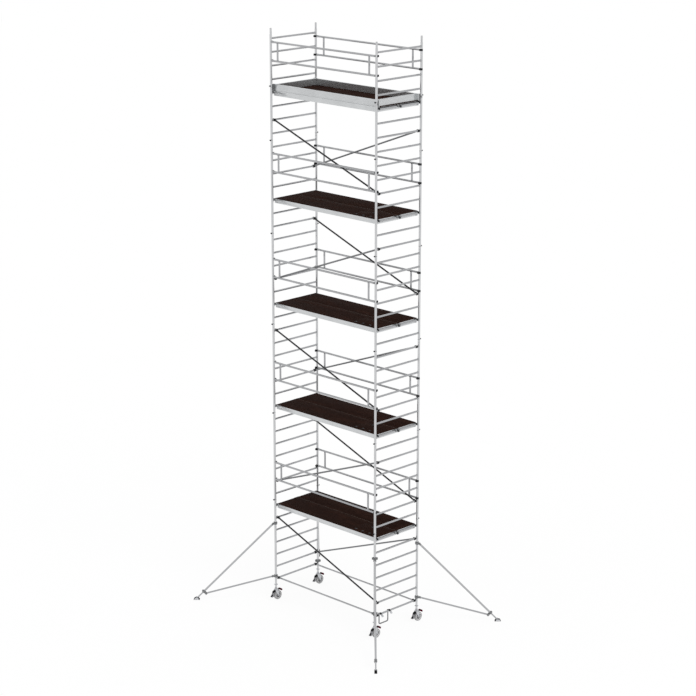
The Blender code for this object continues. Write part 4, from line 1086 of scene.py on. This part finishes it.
class TOWER_OT_outriggers(bpy.types.Operator):
    """Make the outriggers: couplers, telescopic tubes, tie struts, end clamps and feet"""
    bl_idname = "tower.outriggers"
    bl_label = "Outriggers"

    def execute(self, context):
        sizes = context.scene.tower_sizes
        top = Vector((COUPLER_REACH, 0, FIRST_RUNG + OUTRIGGER_TOP_LIFT))
        low = Vector((COUPLER_REACH, 0, FIRST_RUNG + OUTRIGGER_LOW_LIFT))
        foot = Vector((OUTRIGGER_REACH, 0, FOOT_PIVOT))
        down = (foot - top).normalized()
        tube_end = foot - down * LEG_EXPOSED
        inward = Vector((down.z, 0, -down.x))
        strut_end = tube_end - down * CLAMP_LENGTH / 2 + inward * CLAMP_OFFSET
        for corner, x, y in CORNERS:
            place = at(x * HALF_LENGTH, y * HALF_WIDTH) @ Matrix.Rotation(math.atan2(y, x), 4, "Z")
            self.make_tubes(sizes, corner, place, top, low, tube_end, strut_end)
            self.make_couplers(sizes, corner, place, top, low, tube_end, strut_end)
            self.make_leg(sizes, corner, place, foot, tube_end)
        return {"FINISHED"}

    def make_tubes(self, sizes, corner, place, top, low, tube_end, strut_end):
        """Outer tube from the upper coupler and strut from the lower one, both to the end clamp."""
        tubes = bmesh.new()
        line = along(place @ top, place @ tube_end)
        span = (tube_end - top).length
        pipe(tubes, line, sizes.outrigger_radius, sizes.leg_radius + 0.0007, 0.036, span, edge=0.0012)
        piece(f"outrigger_{corner}_tube", tubes, "arm_tube", f"outrigger_{corner}", "outrigger_tube",
              f"outrigger_arm_{corner}")
        strut = bmesh.new()
        line = along(place @ low, place @ strut_end)
        reach = (strut_end - low).length
        pipe(strut, line, sizes.strut_radius, sizes.strut_radius - 0.003, 0.03, reach - 0.012, sides=20)
        piece(f"outrigger_{corner}_strut", strut, "cross_tube", f"outrigger_{corner}", "outrigger_tube")

    def make_couplers(self, sizes, corner, place, top, low, tube_end, strut_end):
        """Hinged couplers on the post, cheeks that hold the tubes, and the clamp at the tube's end."""
        steel = bmesh.new()
        inner = sizes.post_radius + 0.0009
        collar = [(inner, -0.029), (inner + 0.0115, -0.029), (inner + 0.014, -0.026),
                  (inner + 0.014, -0.012), (inner + 0.0175, -0.008)]
        for point, target, radius in ((top, tube_end, sizes.outrigger_radius),
                                      (low, strut_end, sizes.strut_radius)):
            spot = place @ at(z=point.z)
            lathe(steel, mirrored(collar), spot, ring=True, sides=28)
            for side in SIDES:
                ear = extent(side, 0.036, 0.062)
                block(steel, (-0.014, ear[0], -0.022), (-0.003, ear[1], 0.022), spot, edge=0.002)
                block(steel, (0.001, ear[0], -0.022), (0.012, ear[1], 0.022), spot, edge=0.002)
                bolt = spot @ at(0, side * 0.052, 0) @ turn(90, "Y")
                lathe(steel, ((0.0045, -0.03), (0.0045, 0.024)), bolt, sides=10)
                hex_head(steel, 0.009, 0.008, bolt @ at(z=0.012))
                block(steel, (-0.018, -0.003, -0.03), (0.018, 0.003, -0.0145), bolt, edge=0.002)
            line = along(place @ point, place @ target)
            cheek = radius + 0.0035
            for side in SIDES:
                gap = extent(side, cheek - 0.003, cheek + 0.003)
                block(steel, (-0.018, gap[0], 0.018), (0.018, gap[1], 0.056), line, edge=0.002)
            pin = line @ at(z=0.044) @ turn(90, "X")
            hex_head(steel, 0.0095, 0.007, *both_ends(pin, cheek + 0.002))
            block(steel, (-0.02, -cheek, 0.012), (0.02, cheek, 0.024), line, edge=0.002)
        line = along(place @ tube_end, place @ (tube_end * 2 - top))
        bore = sizes.outrigger_radius + 0.0002
        pipe(steel, line, sizes.outrigger_radius + 0.0095, bore, -CLAMP_LENGTH, 0.001, sides=28, edge=0.002)
        block(steel, (-CLAMP_OFFSET - 0.028, -0.026, -CLAMP_LENGTH + 0.004), (-0.034, 0.026, -0.004), line,
              edge=0.006, segments=3)
        pin = line @ at(x=-CLAMP_OFFSET, z=-CLAMP_LENGTH / 2) @ turn(90, "X")
        hex_head(steel, 0.0105, 0.008, *both_ends(pin, 0.0255))
        block(steel, (0.03, -0.012, -CLAMP_LENGTH + 0.012), (0.046, 0.012, -0.012), line, edge=0.003)
        piece(f"outrigger_{corner}_couplers", steel, "grey_coupler", f"outrigger_{corner}", "caster_steel")

    def make_leg(self, sizes, corner, place, foot, tube_end):
        """Inner tube with its setting slots, and the ribbed rubber foot between the plates of its saddle."""
        tube = bmesh.new()
        line = along(place @ tube_end, place @ foot)
        pipe(tube, line, sizes.leg_radius, sizes.leg_radius - 0.003, -LEG_OVERLAP, LEG_EXPOSED - 0.012)
        upright = place @ at(foot.x)
        pad = bmesh.new()
        saddle = bmesh.new()
        for side in SIDES:
            cheek = side * (sizes.leg_radius + 0.0023)
            plate(saddle, ((-0.028, 0.03), (0.028, 0.03), (0.02, 0.058), (0.0, 0.068), (-0.02, 0.058)),
                  0.004, upright @ at(0, cheek) @ turn(-90), edge=0.0008)
            bolt = upright @ at(0, cheek + side * 0.002, 0.052) @ turn(-90 * side, "X")
            hex_head(saddle, 0.008, 0.005, bolt)
            plate(saddle, ((-0.045, 0.006), (0.056, 0.006), (0.056, 0.02), (0.036, 0.046), (-0.03, 0.046),
                           (-0.045, 0.022)), 0.0035, upright @ at(0, side * FOOT_WIDTH / 2) @ turn(-90),
                  edge=0.0008)
        piece(f"outrigger_{corner}_leg", tube, "arm_tube", f"outrigger_leg_{corner}", "outrigger_leg",
              f"outrigger_leg_{corner}")
        piece(f"outrigger_{corner}_saddle", saddle, "zinc_plate", f"outrigger_leg_{corner}", "caster_steel")
        spots = [line @ at(z=height) @ turn(90 * side, "X") for height in SLOT_HEIGHTS for side in SIDES]
        block(pad, (-0.003, -0.007, sizes.leg_radius - 0.002), (0.003, 0.007, sizes.leg_radius + 0.0002),
              *spots, edge=0.0004)
        sole = [(-0.065, 0)]
        for groove in SOLE_GROOVES:
            sole += [(groove - 0.007, 0), (groove - 0.005, 0.004), (groove + 0.005, 0.004),
                     (groove + 0.007, 0)]
        sole += [(0.065, 0), (0.065, 0.018), (0.04, 0.05), (-0.04, 0.05), (-0.065, 0.018)]
        plate(pad, sole, FOOT_WIDTH, upright @ turn(-90), edge=0.0018)
        piece(f"outrigger_{corner}_foot", pad, "foot_rubber", f"outrigger_leg_{corner}", "outrigger_leg")


class TOWER_OT_access_step(bpy.types.Operator):
    """Make the stirrup step of bent tube with its two rung hooks"""
    bl_idname = "tower.access_step"
    bl_label = "Access Step"

    def execute(self, context):
        sizes = context.scene.tower_sizes
        low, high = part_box("access_step")
        radius = sizes.step_radius
        hole = sizes.rung_radius + 0.0009
        hang = HALF_LENGTH - hole - 0.0005 - radius
        start = low.y + radius
        end = high.y - radius
        bottom = low.z + radius
        tube = bmesh.new()
        top = FIRST_RUNG + 0.006
        bent_tube(tube, ((hang, start, top), (hang, start, bottom), (hang, end, bottom), (hang, end, top)),
                  radius, 0.032)
        for across in (start + 0.06, (start + end) / 2, end - 0.06):
            for ring in range(-3, 4):
                bead(tube, radius, 0.0011, at(hang, across + 0.007 * ring, bottom) @ turn(90, "X"), sides=16)
        piece("step_stirrup", tube, "grey_coupler", "step", "step_steel", "access_step")
        hooks = bmesh.new()
        tails = bmesh.new()
        for across in (start, end):
            spot = at(HALF_LENGTH, across, FIRST_RUNG)
            jaw(hooks, hole, hole + 0.009, 0.034, 180, spot @ turn(90, "X") @ turn(-90))
            slant = spot @ turn(-45, "Y")
            block(hooks, (hole, -0.0165, -0.03), (hole + 0.0085, 0.0165, 0.002), slant, edge=0.002)
            block(tails, (hole + 0.0004, -0.026, -0.088), (hole + 0.008, 0.026, -0.029), slant, edge=0.002)
            block(tails, (hole - 0.003, -0.026, -0.089), (hole + 0.006, 0.026, -0.08), slant, edge=0.003)
            lathe(hooks, ((radius + 0.0005, -0.03), (radius + 0.0045, -0.027), (radius + 0.0045, 0.008),
                          (radius, 0.011)), at(hang - 0.0052, across, FIRST_RUNG), sides=18)
        piece("step_hooks", hooks, "dark_casting", "step", "caster_steel")
        piece("step_tails", tails, "zinc_plate", "step", "caster_steel")
        return {"FINISHED"}


# Studio

CAMERA_SPOT = (30.453, -30.530, 17.962)
CAMERA_AZIMUTH = 44.852
CAMERA_ELEVATION = 15.651
CAMERA_LENS = 111.005
CAMERA_SENSOR = 36.0
CAMERA_FAR = 400
# Name, turn in degrees, strength and width in degrees of each light
LIGHTS = (("key_light", (48, 0, 78), 1.25, 40), ("side_light", (62, 0, -5), 0.35, 60))
LIGHT_GREY = (0.75, 0.75, 0.75)
WHITE = (1, 1, 1)
FLOOR_GLOW = 0.9
FLOOR_HALF = 90


def shown_ray(tree):
    """1 for rays from the camera or off glossy or clear surfaces, 0 for the others."""
    path = tree.nodes.new("ShaderNodeLightPath")
    seen = path.outputs["Is Camera Ray"]
    for name in ("Is Glossy Ray", "Is Transmission Ray"):
        seen = larger(tree, seen, path.outputs[name])
    return seen


class TOWER_OT_studio(bpy.types.Operator):
    """Make the pale floor, the white surroundings, the soft lights and the camera"""
    bl_idname = "tower.studio"
    bl_label = "Studio"

    def execute(self, context):
        scene = context.scene
        scene.view_settings.view_transform = "Standard"
        self.make_world(scene)
        self.make_floor(scene)
        for light in LIGHTS:
            self.make_light(scene, *light)
        camera = bpy.data.cameras.new("camera")
        camera.sensor_width = CAMERA_SENSOR
        camera.lens = CAMERA_LENS
        camera.clip_end = CAMERA_FAR
        holder = bpy.data.objects.new("camera", camera)
        holder.location = CAMERA_SPOT
        holder.rotation_euler = (math.radians(90 - CAMERA_ELEVATION), 0, math.radians(CAMERA_AZIMUTH))
        scene.collection.objects.link(holder)
        scene.camera = holder
        return {"FINISHED"}

    def make_world(self, scene):
        """Surroundings that look white and light the tower softly."""
        world = bpy.data.worlds.new("studio")
        world.use_nodes = True
        tree = world.node_tree
        background = tree.nodes["Background"]
        tree.links.new(tint(tree, shown_ray(tree), LIGHT_GREY, WHITE), background.inputs["Color"])
        scene.world = world

    def make_floor(self, scene):
        """Wide pale floor that glows white to the camera and still keeps the tower's shadow."""
        part = bmesh.new()
        bmesh.ops.create_grid(part, x_segments=8, y_segments=8, size=FLOOR_HALF)
        mesh = bpy.data.meshes.new("floor")
        part.to_mesh(mesh)
        part.free()
        floor = bpy.data.objects.new("floor", mesh)
        scene.collection.objects.link(floor)
        material = bpy.data.materials.new("studio_floor")
        material.use_nodes = True
        tree = material.node_tree
        shader = tree.nodes["Principled BSDF"]
        cloud = spread(tree, pattern(tree, 0.4, 2.0), 0, 1)
        tree.links.new(tint(tree, cloud, scene.tower_colours.floor, shade(scene.tower_colours.floor, 1.02)),
                       shader.inputs["Base Color"])
        shader.inputs["Roughness"].default_value = 0.9
        shader.inputs["Specular IOR Level"].default_value = 0.0
        glow = node(tree, "ShaderNodeEmission", Strength=1.0)
        share = node(tree, "ShaderNodeMath", [(0, shown_ray(tree))], operation="MULTIPLY")
        share.inputs[1].default_value = FLOOR_GLOW
        mixed = node(tree, "ShaderNodeMixShader", [(0, share.outputs["Value"]), (1, shader.outputs["BSDF"]),
                                                   (2, glow.outputs["Emission"])])
        tree.links.new(mixed.outputs["Shader"], tree.nodes["Material Output"].inputs["Surface"])
        mesh.materials.append(material)

    def make_light(self, scene, name, angles, strength, softness):
        """Soft sun that glossy metal doesn't mirror; its turn and its width are in degrees."""
        lamp = bpy.data.lights.new(name, "SUN")
        lamp.energy = strength
        lamp.angle = math.radians(softness)
        holder = bpy.data.objects.new(name, lamp)
        holder.rotation_euler = [math.radians(angle) for angle in angles]
        holder.visible_glossy = False
        scene.collection.objects.link(holder)


class TOWER_PT_panel(bpy.types.Panel):
    """Buttons and values of the tower"""
    bl_idname = "TOWER_PT_panel"
    bl_label = "Mobile Tower Scaffold"
    bl_space_type = "VIEW_3D"
    bl_region_type = "UI"
    bl_category = "Tower"

    def draw(self, context):
        for operator in OPERATORS:
            self.layout.operator(operator.bl_idname)
        for group in (context.scene.tower_sizes, context.scene.tower_colours):
            column = self.layout.column(align=True)
            for name in group.__annotations__:
                column.prop(group, name)


OPERATORS = (TOWER_OT_ladder_frames, TOWER_OT_braces, TOWER_OT_platforms, TOWER_OT_trapdoors,
             TOWER_OT_guardrails, TOWER_OT_toe_boards, TOWER_OT_casters, TOWER_OT_outriggers,
             TOWER_OT_access_step, TOWER_OT_studio)
CLASSES = (TowerSizes, TowerColours) + OPERATORS + (TOWER_PT_panel,)


def register():
    """Add the classes and the scene's values."""
    for item in CLASSES:
        bpy.utils.register_class(item)
    bpy.types.Scene.tower_sizes = PointerProperty(type=TowerSizes)
    bpy.types.Scene.tower_colours = PointerProperty(type=TowerColours)


def unregister():
    """Remove the scene's values and the classes."""
    del bpy.types.Scene.tower_colours
    del bpy.types.Scene.tower_sizes
    for item in reversed(CLASSES):
        bpy.utils.unregister_class(item)


def main():
    """Register the classes, then make every piece and the studio."""
    register()
    bpy.ops.tower.ladder_frames()
    bpy.ops.tower.braces()
    bpy.ops.tower.platforms()
    bpy.ops.tower.trapdoors()
    bpy.ops.tower.guardrails()
    bpy.ops.tower.toe_boards()
    bpy.ops.tower.casters()
    bpy.ops.tower.outriggers()
    bpy.ops.tower.access_step()
    bpy.ops.tower.studio()


if __name__ == "__main__":
    main()
